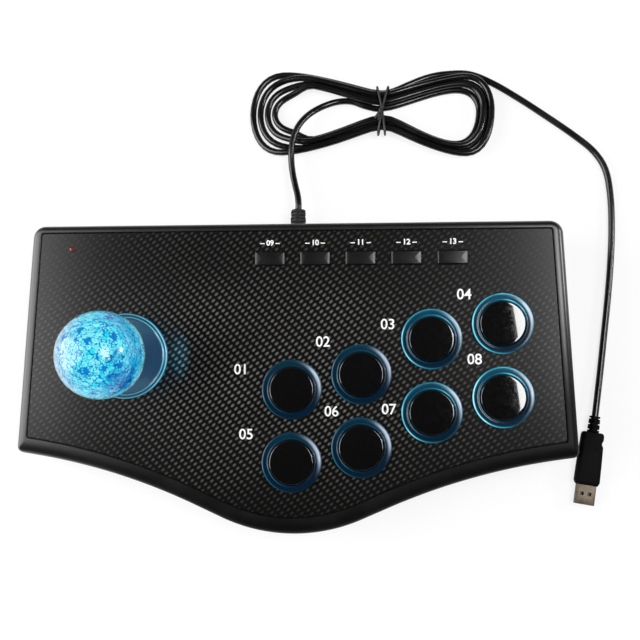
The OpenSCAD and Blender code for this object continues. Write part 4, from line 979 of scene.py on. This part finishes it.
    def bubble_light(self, centre):
        """Blue lamplight caught in the bubbles, with painted light and shade: each has a painted bright
        rim, and the gaps are deep blue.
        """
        f = Finish("bubble_light", base_color=(0.01, 0.04, 0.06), roughness=0.8, specular_ior_level=0.0,
                   emission_strength=1.0)
        facing, tone = f.attribute("outward"), f.attribute("tone")
        x, y, _ = f.axes(at=tuple(centre))
        drift = f.noise(110, 2, 0.5)
        # Painted shade: deeper blue round the sides, but for the left, which is painted paler where the
        # left lamp is reflected
        side = (x * x + y * y).step(0.00018, 0.00029, 0.0, 0.6) * x.step(-0.004, 0.008, 0.35, 1.0)
        # Painted light: the bubbles are brighter toward the upper left and darker toward the lower right
        lit = (drift + x * -5 + y * 5).step(0.24, 0.42) * (1 - side)
        # Painted shading of each bubble: a bright rim round where it faces out of the ball, and on some a
        # darker middle
        rim = facing.step(0.15, 0.6) - facing.step(0.8, 1.0) * tone.step(0.3, 0.9, 0.1, 0.7)
        # Painted reflection: the bubbles grow paler toward the left, where the left lamp is reflected, and
        # whiter still at the left edge
        paleness = (tone * 0.6 + (drift + x * -8) * 0.8).step(0.35, 0.9)
        pale = f.mix(paleness, [0.01, 0.78, 0.9], [0.3, 1.0, 1.0])
        pale = f.mix((x * -1).step(0.006, 0.015, 0.0, 0.75), pale, [0.62, 0.86, 0.95])
        body = f.mix(rim, [0.0, 0.2, 0.58], pale)
        dim = f.mix(rim, [0.0, 0.02, 0.17], [0.0, 0.22, 0.6])
        return f.set("Emission Color", f.mix(lit, dim, body))


# Printed numbers: places, heights and rise in millimetres, weights and body in the text's own units

BUTTON_NUMBERS = ((-30.8, 4.6), (19.4, 21.2), (58, 31.6), (103.3, 49.3),
                  (-26.9, -34.3), (24.6, -20.3), (58.8, -18.9), (109.2, 10.8))
KEY_NUMBER_ROW, BUTTON_NUMBER_H, KEY_NUMBER_H = 80.9, 6.4, 3.5
BUTTON_NUMBER_WEIGHT, KEY_NUMBER_WEIGHT = 0.012, 0.03
PRINT_BODY, PRINT_FLATTEN, PRINT_RISE = 0.004, 0.012, 0.05


class FIGHTSTICK_OT_marks(bpy.types.Operator):
    """Adds the numbers printed beside the buttons and over the keys"""

    bl_idname = "fight_stick.marks"
    bl_label = "Printed numbers"

    def execute(self, context):
        numbers = [self.number(f"{i + 1:02d}", u, v, BUTTON_NUMBER_H, BUTTON_NUMBER_WEIGHT)
                   for i, (u, v) in enumerate(BUTTON_NUMBERS)]
        keys = [self.number(f"\u2013 {i + 9:02d} \u2013", key_place(i)[0] / MM, KEY_NUMBER_ROW,
                            KEY_NUMBER_H, KEY_NUMBER_WEIGHT) for i in range(KEYS)]
        ink = Finish("white_print", roughness=0.5)
        worn = ink.noise(500, 3).step(0.3, 0.6, 0.88, 1.0)
        ink.set("Base Color", ink.mix(worn, [0.4, 0.4, 0.4], colours().print_white))
        for name, parts in (("panel_numbers", numbers), ("key_numbers", keys)):
            piece = dress(joined(name, *parts), ink)
            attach(piece, "case")
        return {"FINISHED"}

    def number(self, text, u, v, height, weight):
        """A flat number centred on a place of the panel, a hair above its face."""
        deselect()
        bpy.ops.object.text_add(location=(0, 0, 0))
        letters = named("number")
        letters.data.body = text
        letters.data.align_x, letters.data.align_y = "CENTER", "CENTER"
        letters.data.offset = weight
        letters.data.extrude = PRINT_BODY
        letters.data.resolution_u = 4
        bpy.ops.object.convert(target="MESH")
        letters = named("number")
        xs = [p.co.x for p in letters.data.vertices]
        ys = [p.co.y for p in letters.data.vertices]
        scale = height * MM / (max(ys) - min(ys))
        middle = Vector(((max(xs) + min(xs)) / 2, (max(ys) + min(ys)) / 2, 0))
        place(letters, Matrix.Diagonal((scale, scale, PRINT_FLATTEN, 1)) @ Matrix.Translation(-middle))
        return place(letters, panel_matrix(u * MM, v * MM, -PRINT_RISE * MM))


class FIGHTSTICK_OT_inside(bpy.types.Operator):
    """Finishes the parts inside the case and the small parts of the shell and the lever"""

    bl_idname = "fight_stick.inside"
    bl_label = "Inside parts"

    def execute(self, context):
        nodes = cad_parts
        zinc = self.metal("zinc_plated", (0.55, 0.56, 0.58), 0.32)
        chrome = self.metal("chromed_steel", (0.72, 0.73, 0.75), 0.12)
        for names, finish, slot in (
                (("case_screws", "ballast_screws", "board_screws", "key_board_screws", "stick_screws",
                  "retaining_clip", "lever_spring"), zinc, "steel"),
                (("ballast_plate",), self.metal("ballast_steel", (0.35, 0.36, 0.38), 0.45), "steel"),
                (("lever_shaft",), chrome, "chrome"),
                (("main_board", "key_board", "stick_board"), self.board(), "board"),
                (("rim_locknuts", "stick_housing", "gimbal_ring", "actuator"),
                 satin_black("black_moulding", (0.012, 0.012, 0.012), 0.5, 0.3, 1500), "black_moulding"),
                (("button_switches", "key_switches", "stick_switches"),
                 satin_black("switch_plastic", (0.02, 0.02, 0.021), 0.4, 0.2, 1500), "switch"),
                (("pivot_block", "restrictor_gate"), self.nylon(), "nylon"),
                (("button_leds", "ball_led"), self.lamp(), "lamp"),
                (("mode_led",), self.mode_lamp(), "mode_lamp")):
            for name in names:
                dress(nodes[name], finish)
        return {"FINISHED"}

    def metal(self, name, colour, rough):
        """Bare or plated metal with faint clouds."""
        f = Finish(name, metallic=1.0)
        cloud = f.noise(240, 3, 0.6)
        f.set("Base Color", f.mix(cloud.step(0.3, 0.7), [c * 0.85 for c in colour], colour))
        f.set("Roughness", cloud.step(0.3, 0.7, rough - 0.05, rough + 0.08))
        return f.bump(f.noise(1500, 2), 0.06, 0.0001)

    def board(self):
        """Green lacquer over copper tracks."""
        f = Finish("green_board", specular_ior_level=0.5)
        x, y, _ = f.split(f.place)
        tracks = (x * 900).math("SINE").math("MAXIMUM", (y * 700).math("SINE")).step(0.82, 0.9)
        f.set("Base Color", f.mix(tracks, [0.004, 0.05, 0.02], [0.01, 0.11, 0.045]))
        f.set("Roughness", tracks.step(0, 1, 0.3, 0.22))
        return f.bump(tracks, 0.1, 0.0001)

    def nylon(self):
        """Milky white moulding."""
        f = Finish("white_nylon", subsurface_weight=0.1, subsurface_scale=0.001)
        cloud = f.noise(180, 3)
        f.set("Base Color", f.mix(cloud.step(0.3, 0.7), [0.6, 0.6, 0.57], [0.7, 0.7, 0.67]))
        f.set("Roughness", cloud.step(0.3, 0.7, 0.38, 0.5))
        return f.bump(f.noise(1500, 2), 0.1, 0.0001)

    def lamp(self):
        """A lit lamp with a clear blue cap."""
        f = Finish("clear_lamp", roughness=0.1, emission_strength=1.0)
        cloud = f.noise(300, 2)
        f.set("Base Color", f.mix(cloud, [0.3, 0.5, 0.6], [0.5, 0.7, 0.8]))
        return f.set("Emission Color", f.mix(cloud, [0.05, 0.4, 0.7], [0.1, 0.6, 0.9]))

    def mode_lamp(self):
        """A small red lamp that is nearly out."""
        f = Finish("red_lamp", roughness=0.15, coat_weight=0.4, emission_strength=1.0)
        cloud = f.noise(900, 2).step(0.35, 0.65)
        f.set("Base Color", f.mix(cloud, [0.04, 0.004, 0.004], [0.16, 0.012, 0.012]))
        return f.set("Emission Color", f.mix(cloud, [0.02, 0.001, 0.001], [0.16, 0.01, 0.01]))


class FIGHTSTICK_OT_cord(bpy.types.Operator):
    """Adds the cord along its route, its relief and its plug, and the tie round its hank"""

    bl_idname = "fight_stick.cord"
    bl_label = "Cord and tie"

    def execute(self, context):
        s = sizes()
        route = cord_route()
        length = sum((b - a).length for a, b in zip(route, route[1:]))
        cord = bent_wire("cord", route, s.cord_diameter / 2, sides=4, as_mesh=False)
        dress(cord, satin_black("cord_jacket", colours().cord, 0.22, 0.15, 1800))
        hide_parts("cord_lead", "cord_hank", "cord_tail")
        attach(cord, "case")
        rubber = satin_black("relief_rubber", colours().cord, 0.5, 0.3, 1500)
        rubber.set("Specular IOR Level", 0.35)
        relief = place(self.relief(), Matrix.Translation((0, s.depth / 2, CORD_EXIT_H * MM))
                       @ Matrix.Rotation(-math.pi / 2, 4, "X"))
        dress(relief, rubber)
        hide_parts("cord_grommet")
        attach(relief, "case")
        self.tie()
        self.plug()
        return {"FINISHED"}

    def ribbed(self, name, start, end, start_r, end_r, count, before, after):
        """A relief sleeve: ribs round a core, bridged in turn on the sides and on top."""
        pitch = (end - start) / count
        profile, radii, bridges = list(before), [0] * len(before), []
        for i in range(count):
            z = start + i * pitch
            r = start_r + (end_r - start_r) * (i + 0.5) / count
            profile += [(r, z), (r, z + RIB_SHARE * pitch)]
            radii += [RIB_EDGE_R, RIB_EDGE_R]
            if i < count - 1:
                profile += [(r - RIB_DEPTH, z + RIB_SHARE * pitch), (r - RIB_DEPTH, z + pitch)]
                radii += [0, 0]
                bridges.append((r - 0.15, z + (1 + RIB_SHARE) / 2 * pitch, 0.4 * pitch, i % 2))
        profile += after
        radii += [0.4] * len(after)
        sleeve = spun(name, in_mm(rounded(profile, radii)), steps=48)
        for r, z, depth, turned in bridges:
            size = (2 * r, 0.9 * r, depth) if turned else (0.9 * r, 2 * r, depth)
            joined(name, sleeve, block("bridge", size, Matrix.Translation((0, 0, z * MM))))
        return sleeve

    def relief(self):
        """The sleeve on the rear wall: a flange inside it, a neck through it and seven ribs."""
        wall, flange_r, flange_t, neck_r, foot_r, tip_r = WALL + DRAFT, 6.4, 1.4, 4.3, 5.3, 4.6
        return self.ribbed(
            "cord_relief", 1.6, RELIEF_L, foot_r, tip_r, 7,
            [(0, -wall - flange_t), (flange_r, -wall - flange_t), (flange_r, -wall), (neck_r, -wall),
             (neck_r, 0), (foot_r, 0.1)],
            [(2.4, RELIEF_L + 0.1), (0, RELIEF_L + 0.1)])

    def tie(self):
        """A covered wire, twice round the hank and twisted together on top."""
        cord_d, step, cord_z = strand()
        at = tie_place()
        round_cord = cord_d / 2 + TIE_WIRE_R + TIE_CLEAR
        high = cord_z + TIE_LIFT + step * math.sin(math.radians(NEST_ANGLE)) + round_cord

        def wire(name, points):
            return bent_wire(name, [(at + p) * MM for p in points], TIE_WIRE_R * MM, sides=2)

        tie = wire("cord_tie", self.twisted_tail(0, high))
        joined("cord_tie", tie, wire("tie_tail", self.twisted_tail(math.pi, high)))
        joined("cord_tie", tie, wire("tie_turns", self.wire_turns(TIE_HALF + round_cord, high)))
        cover = satin_black("tie_cover", (0.022, 0.022, 0.022), 0.45, 0.3, 1800)
        dress(smooth(tie, 60), cover)
        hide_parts("twist_tie")
        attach(tie, "case")

    def wire_turns(self, half, high):
        """Two turns round the hank, each leaning its own way."""
        low = TIE_WIRE_R + TIE_CLEAR
        points = []
        for i in range(2 * TURN_STEPS + 1):
            turn = math.tau * (i / TURN_STEPS) + math.pi / 2
            across, up = (math.copysign(abs(k) ** TURN_POWER, k) for k in (math.cos(turn), math.sin(turn)))
            lean, bow = TURN_LEANS[0 if i < TURN_STEPS else 1]
            points.append(Vector((lean * across + bow * abs(across), half * across,
                                  (low + high) / 2 + (high - low) / 2 * up)))
        return points

    def twisted_tail(self, turned, high):
        """One of the wire's two ends, twisted round the other and then spread from it."""
        along, aside = Vector((-0.4, -0.92, 0)), Vector((0.92, -0.4, 0))
        points = []
        for k in range(TAIL_STEPS + 1):
            t = k / TAIL_STEPS
            spread = TWIST_R + TAIL_SPREAD * max(0, t - TWIST_SHARE) ** 1.2
            a = turned + math.tau * TWIST_TURNS * min(t, TWIST_SHARE)
            rise = high + TWIST_R * math.sin(a) + TAIL_RISE * t
            points.append(Vector(TAIL_FOOT) + along * (TAIL_L * t)
                          + aside * (spread * math.cos(a)) + Vector((0, 0, rise)))
        return points

    def plug(self):
        """The moulded grip with its ribbed relief, the folded steel shell and the contact tongue."""
        at = (Matrix.Translation(plug_end() * MM) @ Matrix.Rotation(math.radians(-PLUG_TURN), 4, "Z")
              @ Matrix.Rotation(math.pi / 2, 4, "X"))
        grip = outward(lofted("plug_grip", [bar_ring(*section) for section in GRIP_SECTIONS]))
        relief_l, foot_r, tip_r, cord_hole_r = 10.4, 3.3, 3.7, 2.3
        relief = self.ribbed("plug_relief", 0, relief_l, foot_r, tip_r, 6,
                             [(0, 0), (cord_hole_r, 0)], [(0, relief_l)])
        deselect()
        bpy.ops.mesh.primitive_cone_add(vertices=3, radius1=1.7 * MM, radius2=1.4 * MM, depth=0.5 * MM)
        mark = place(named("grip_mark"), Matrix.Translation(Vector(GRIP_MARK_AT) * MM)
                     @ Matrix.Rotation(-math.pi / 2, 4, "X"))
        grip = place(smooth(joined("plug_grip", grip, relief, mark), 40), at)
        matt = satin_black("grip_rubber", [c * 0.5 for c in colours().cord], 0.6, 0.3, 1500)
        matt.set("Specular IOR Level", 0.06)
        dress(grip, matt)
        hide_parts("plug_body")
        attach(grip, "case")
        shell = outward(lofted("plug_steel_shell", [bar_ring(*section) for section in STEEL_SECTIONS]))
        for x in (-WINDOW_X, WINDOW_X):
            window = block("window", (WINDOW_W, 2, WINDOW_W),
                           Matrix.Translation(Vector((x, 2, WINDOW_Z)) * MM))
            modify(shell, "BOOLEAN", operation="DIFFERENCE", object=window, solver="EXACT")
            bpy.data.objects.remove(window)
        shell = place(smooth(shell, 30), at)
        steel = Finish("plug_steel", metallic=1.0)
        cloud = steel.noise(300, 3, 0.6)
        steel.set("Base Color", steel.mix(cloud.step(0.3, 0.7), [0.085, 0.07, 0.054], [0.14, 0.116, 0.09]))
        steel.set("Roughness", cloud.step(0.3, 0.7, 0.42, 0.55))
        dress(shell, steel)
        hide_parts("plug_shell")
        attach(shell, "case")
        contacts = outward(lofted("plug_contacts", [bar_ring(*section) for section in CONTACT_SECTIONS]))
        contacts = place(place(contacts, Matrix.Translation((0, -CONTACT_DROP * MM, 0))), at)
        dress(contacts, satin_black("contact_nylon", (0.008, 0.008, 0.008), 0.5, 0.1, 1500))
        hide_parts("plug_tongue")
        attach(contacts, "case")


def bar_ring(z, left, right, half_height, radius):
    """One section of a bar along Z, with rounded corners, in metres."""
    return [Vector((x, y, z)) * MM for x, y in soft_rectangle(left, right, half_height, radius)]


# Sections of the plug, in millimetres: place along it, left, right, half height and corner radius

GRIP_SECTIONS = (
    (10, 5.4, 5.4, 3.2, 2.2), (10.4, 6.4, 6.4, 3.75, 2.4), (12, 6.9, 6.9, 4, 2.6),
    (14.4, 7.0, 6.9, 4, 2.6), (15.8, 7.0, 6.2, 4, 2.5), (17.0, 7.1, 6.2, 4, 2.5),
    (18.6, 7.15, 7.1, 4, 2.6), (28, 7.5, 7.45, 4, 2.6), (40.2, 7.75, 7.75, 4, 2.6),
    (41.2, 7.4, 7.4, 3.9, 2.4), (42.6, 6.5, 6.5, 3.3, 1.6))
STEEL_SECTIONS = (
    (41.5, 6, 6, 2.25, 0.5), (54.1, 6, 6, 2.25, 0.5), (54.5, 5.85, 5.85, 2.1, 0.45),
    (54.5, 5.65, 5.65, 1.9, 0.35), (42, 5.65, 5.65, 1.9, 0.35))
CONTACT_SECTIONS = ((42.1, 5.3, 5.3, 0.9, 0.1), (53.7, 5.3, 5.3, 0.9, 0.1))
GRIP_MARK_AT, CONTACT_DROP = (2.6, 4.05, 20.5), 0.95
WINDOW_X, WINDOW_Z, WINDOW_W = 2.3, 48, 2.2

# Ribs of the reliefs, and the tie's wire, in millimetres

RIB_SHARE, RIB_DEPTH, RIB_EDGE_R = 0.62, 1, 0.25
TIE_WIRE_R, TIE_CLEAR, TURN_STEPS, TURN_POWER = 0.7, 0.1, 72, 0.45
TURN_LEANS = ((3.4, 0.7), (-2.6, -0.7))
TWIST_R, TWIST_TURNS, TWIST_SHARE = 0.62, 1.5, 0.62
TAIL_FOOT, TAIL_L, TAIL_RISE, TAIL_SPREAD, TAIL_STEPS = (0.4, 1.5, 0.9), 10, 0.8, 2.6, 27


# The cord's route, repeated from the solids, in millimetres

RELIEF_L, CORD_EXIT_H, FLOOR_CLEAR = 17, 14, 0.05
TIE_X, HANK_SETBACK, TIE_HALF, TIE_LIFT = 54, 68.5, 13, 1
STRAND_GAP, NEST_ANGLE, LOOPS, HANK_STEPS = 0.7, 58, 4, 72
LEFT_REACH, RIGHT_REACH = 88, 73.5
LEFT_HALF, RIGHT_TOP, RIGHT_BOTTOM = 28.5, 24.5, 32
WAIST_SHARE, END_POWER, DRAW_IN_SHARE, LAYER_SHARE = 0.12, 3, 0.75, 0.251
PLUG_OUT, PLUG_BACK, PLUG_TURN, PLUG_H = 15, 115, 9, 8
LEAD_POINTS = (
    (-0.8, 10, 11), (-2.6, 17, 9.5), (-4.4, 25, 8.5), (-5.4, 33, 8.8), (-5.4, 41, 9.5),
    (-4, 49.5, 9.8), (-0.6, 58, 9), (5.4, 66, 6), (14, 72.6, 2.5), (24, 76.4, 0.9),
    (33.5, 76.4, 0.9), (42, 73.2, 1), (49.6, 71.1, 1))
TAIL_POINTS = (
    (58.2, 82, 0.9), (64, 84, 0.8), (72.5, 87.8, 0.4), (84.5, 92.4, 0), (97, 94.4, 0),
    (112, 93.8, 0), (127, 87, 0))
BESIDE_POINTS = (
    (-27, 93, 0), (-9, 80, 0), (8, 67, 0), (20, 56, 0), (27, 43.5, 0), (29.5, 26, 0),
    (29.5, 4, 0), (28, -18, 0), (25.5, -41, 0), (22.5, -64, 0), (19.5, -86, 0.4), (17, -102, 1.5))


def ease(a, b, x):
    """A smooth rise from 0 at a to 1 at b."""
    t = min(1, max(0, (x - a) / (b - a)))
    return t * t * (3 - 2 * t)


def lobe(s):
    """Half width of a lobe of the hank at a share of its reach, before it is scaled."""
    return ((math.sqrt(s * s + WAIST_SHARE * WAIST_SHARE) - WAIST_SHARE)
            * math.sqrt(max(0, 1 - s ** END_POWER)))


LOBE_MOST = max(lobe(math.sin(math.radians(i))) for i in range(91))


def strand():
    """The cord's diameter, the step from one strand to the next, and a strand's height on the floor."""
    cord_d = sizes().cord_diameter / MM
    return cord_d, cord_d + STRAND_GAP, cord_d / 2 + FLOOR_CLEAR


def tie_place():
    """The floor under the middle of the tie."""
    return Vector((TIE_X, sizes().depth / MM / 2 + RELIEF_L + HANK_SETBACK, 0))


def hank_point(u):
    """A point of the hank after u turns, in millimetres."""
    _, step, cord_z = strand()
    middle = tie_place()
    sine, cosine = math.sin(math.tau * u), math.cos(math.tau * u)
    share, right, upper = abs(sine), sine >= 0, cosine >= 0
    nest = math.radians(NEST_ANGLE * (1 - (0 if right else ease(0.55, 0.97, share))))
    inset = step * math.cos(nest) * (LOOPS - u)
    layer = math.floor(u + LAYER_SHARE) % 2
    half = (RIGHT_TOP if upper else RIGHT_BOTTOM) if right else LEFT_HALF
    reach = (RIGHT_REACH if right else LEFT_REACH) - inset
    off = ((half - inset) * lobe(share) / LOBE_MOST
           + (TIE_HALF - inset) * (1 - ease(0, DRAW_IN_SHARE, share)))
    return Vector((middle.x + reach * sine, middle.y + (off if upper else -off),
                   cord_z + layer * step * math.sin(nest) + TIE_LIFT * (1 - ease(0.05, 0.4, share))))


def curve_through(points, steps=6):
    """Points on a smooth curve through a route's own."""
    ends = [2 * points[0] - points[1], *points, 2 * points[-1] - points[-2]]
    out = []
    for p0, p1, p2, p3 in zip(ends, ends[1:], ends[2:], ends[3:]):
        for k in range(steps):
            t = k / steps
            out.append(0.5 * (2 * p1 + (p2 - p0) * t + (2 * p0 - 5 * p1 + 4 * p2 - p3) * t * t
                              + (3 * p1 - p0 - 3 * p2 + p3) * t * t * t))
    return out + [points[-1]]


def plug_end():
    """Where the cord enters the plug, in millimetres."""
    s = sizes()
    return Vector((s.front_width / MM / 2 + PLUG_OUT, s.depth / MM / 2 - PLUG_BACK, PLUG_H / 2))


def cord_route():
    """The whole cord's centreline, in metres: lead, hank and tail."""
    s = sizes()
    cord_d, _, cord_z = strand()
    exit_y = s.depth / MM / 2 + RELIEF_L
    start = Vector((0, exit_y, cord_z))
    beside = Vector((s.front_width / MM / 2, s.depth / MM / 2, cord_z))
    turn = math.radians(PLUG_TURN)
    lead = [Vector((0, exit_y, CORD_EXIT_H)), Vector((0, exit_y + cord_d, CORD_EXIT_H))]
    lead += [Vector(p) + start for p in LEAD_POINTS] + [hank_point(0)]
    tail = [hank_point(LOOPS)] + [Vector(p) + start for p in TAIL_POINTS]
    tail += [Vector(p) + beside for p in BESIDE_POINTS]
    tail += [plug_end() + cord_d * Vector((math.sin(turn), math.cos(turn), 0)), plug_end()]
    hank = [hank_point(i / HANK_STEPS) for i in range(1, LOOPS * HANK_STEPS)]
    return [p * MM for p in curve_through(lead) + hank + curve_through(tail)]


# The stage: lamps as name, place, aim, size, power in watts and turn in degrees, and the camera

LAMPS = (
    ("left_box", (-0.8, 0.02, 0.46), (-0.1, 0.02, 0.2), (0.8, 0.88), 11.5, 0),
    ("haze_box", (-0.64, 0.0, 1.0), (-0.15, 0, 0.04), (0.6, 0.26), 2.2, 0),
    ("right_box", (0.6, 0.005, 1.25), (0.12, 0, 0.04), (0.58, 0.464), 11.8, 9),
    ("low_box", (0.95, 0.2, 0.42), (-0.1, 0.02, 0.08), (0.15, 0.15), 3.0, 0))
CAMERA_AT, CAMERA_AIM = (0.0656, -0.0418, 0.5915), (0.0176, 0.0340, 0.0469)
CAMERA_LENS, CAMERA_SENSOR, CAMERA_ROLL = 51.75, 36, 0.1
FLOOR_WIDTH, FLOOR_DROP = 6, 0.0002


class FIGHTSTICK_OT_stage(bpy.types.Operator):
    """Adds the floor, the lamps, the world and the camera"""

    bl_idname = "fight_stick.stage"
    bl_label = "Stage"

    def execute(self, context):
        scene = context.scene
        scene.view_settings.view_transform = "Standard"
        deselect()
        bpy.ops.mesh.primitive_plane_add(size=FLOOR_WIDTH, location=(0, 0, -FLOOR_DROP))
        floor = named("floor")
        floor.data.materials.append(self.paper())
        self.world(scene)
        for lamp in LAMPS:
            self.lamp(*lamp)
        self.camera(scene)
        return {"FINISHED"}

    def paper(self):
        """White paper that shows the stick's shadow and is near white to the camera."""
        f = Finish("floor_paper", roughness=0.9)
        f.set("Base Color", (0.9, 0.9, 0.9))
        tree = f.tree
        rays = tree.nodes.new("ShaderNodeLightPath")
        glow = tree.nodes.new("ShaderNodeEmission")
        mix = tree.nodes.new("ShaderNodeMixShader")
        seen = (Value(tree, rays.outputs["Is Camera Ray"]) * 0.8
                + Value(tree, rays.outputs["Is Transmission Ray"]) * 0.5
                + Value(tree, rays.outputs["Is Glossy Ray"]) * 0.4)
        put(tree, mix.inputs[0], seen)
        tree.links.new(f.shader.outputs[0], mix.inputs[1])
        tree.links.new(glow.outputs[0], mix.inputs[2])
        tree.links.new(mix.outputs[0], tree.nodes["Material Output"].inputs["Surface"])
        return f.material

    def world(self, scene):
        """White to the camera. To the pieces it is dark overhead and light along the horizon."""
        world = scene.world or bpy.data.worlds.new("studio")
        scene.world = world
        world.use_nodes = True
        tree = world.node_tree
        back = tree.nodes["Background"]
        rays = tree.nodes.new("ShaderNodeLightPath")
        way = tree.nodes.new("ShaderNodeTexCoord")
        split = tree.nodes.new("ShaderNodeSeparateXYZ")
        tree.links.new(way.outputs["Generated"], split.inputs[0])
        across, along, height = (Value(tree, split.outputs[k]) for k in "XYZ")
        around = (height.step(0.05, 0.45, 0.45, 0.025) * along.step(-0.7, 0.1, 0.08, 1.0)
                  + across.step(-0.95, -0.3, 1.0, 0.0) * height.step(-0.2, 0.7, 0.8, 0.0))
        camera = Value(tree, rays.outputs["Is Camera Ray"])
        put(tree, back.inputs["Color"], (1, 1, 1))
        put(tree, back.inputs["Strength"], around.math("MAXIMUM", camera))

    def lamp(self, name, at, to, size, power, turn):
        """A soft box that faces a point, turned about its own axis."""
        bpy.ops.object.light_add(type="AREA", location=at)
        lamp = bpy.context.active_object
        lamp.name = name
        lamp.data.shape = "RECTANGLE"
        lamp.data.size, lamp.data.size_y = size
        lamp.data.energy = power
        aim = (Vector(at) - Vector(to)).to_track_quat("Z", "Y").to_matrix()
        lamp.rotation_euler = (aim @ Matrix.Rotation(math.radians(turn), 3, "Z")).to_euler()

    def camera(self, scene):
        """The photograph's view: the panel's own up and down stay upright in the frame."""
        at, tilt = Vector(CAMERA_AT), sizes().panel_tilt
        back = (at - Vector(CAMERA_AIM)).normalized()
        right = Vector((0, math.cos(tilt), math.sin(tilt))).cross(back).normalized()
        level = Matrix((right, back.cross(right), back)).transposed()
        turned = level @ Matrix.Rotation(math.radians(CAMERA_ROLL), 3, "Z")
        bpy.ops.object.camera_add(location=at, rotation=turned.to_euler())
        camera = bpy.context.active_object
        camera.name = "camera"
        camera.data.lens = CAMERA_LENS
        camera.data.sensor_width = CAMERA_SENSOR
        camera.data.clip_start = 0.01
        scene.camera = camera


class FIGHTSTICK_PT_panel(bpy.types.Panel):
    """Shows the stick's sizes and colours, and a button for each operator that adds or finishes its pieces
    """

    bl_idname = "FIGHTSTICK_PT_panel"
    bl_label = "Fight Stick"
    bl_space_type = "VIEW_3D"
    bl_region_type = "UI"
    bl_category = "Fight Stick"

    def draw(self, context):
        for group in (sizes(), colours()):
            for name in group.bl_rna.properties.keys():
                if name not in ("rna_type", "name"):
                    self.layout.prop(group, name)
        for operator in OPERATORS:
            self.layout.operator(operator.bl_idname)


OPERATORS = (
    FIGHTSTICK_OT_case,
    FIGHTSTICK_OT_buttons,
    FIGHTSTICK_OT_keys,
    FIGHTSTICK_OT_lever,
    FIGHTSTICK_OT_marks,
    FIGHTSTICK_OT_inside,
    FIGHTSTICK_OT_cord,
    FIGHTSTICK_OT_stage,
)
CLASSES = (FightStickSizes, FightStickColours, *OPERATORS, FIGHTSTICK_PT_panel)


def register():
    for cls in CLASSES:
        bpy.utils.register_class(cls)
    bpy.types.Scene.fight_stick_sizes = bpy.props.PointerProperty(type=FightStickSizes)
    bpy.types.Scene.fight_stick_colours = bpy.props.PointerProperty(type=FightStickColours)


def unregister():
    del bpy.types.Scene.fight_stick_colours
    del bpy.types.Scene.fight_stick_sizes
    for cls in reversed(CLASSES):
        bpy.utils.unregister_class(cls)


def main():
    register()
    bpy.ops.fight_stick.case()
    bpy.ops.fight_stick.buttons()
    bpy.ops.fight_stick.keys()
    bpy.ops.fight_stick.lever()
    bpy.ops.fight_stick.marks()
    bpy.ops.fight_stick.inside()
    bpy.ops.fight_stick.cord()
    bpy.ops.fight_stick.stage()


if __name__ == "__main__":
    main()
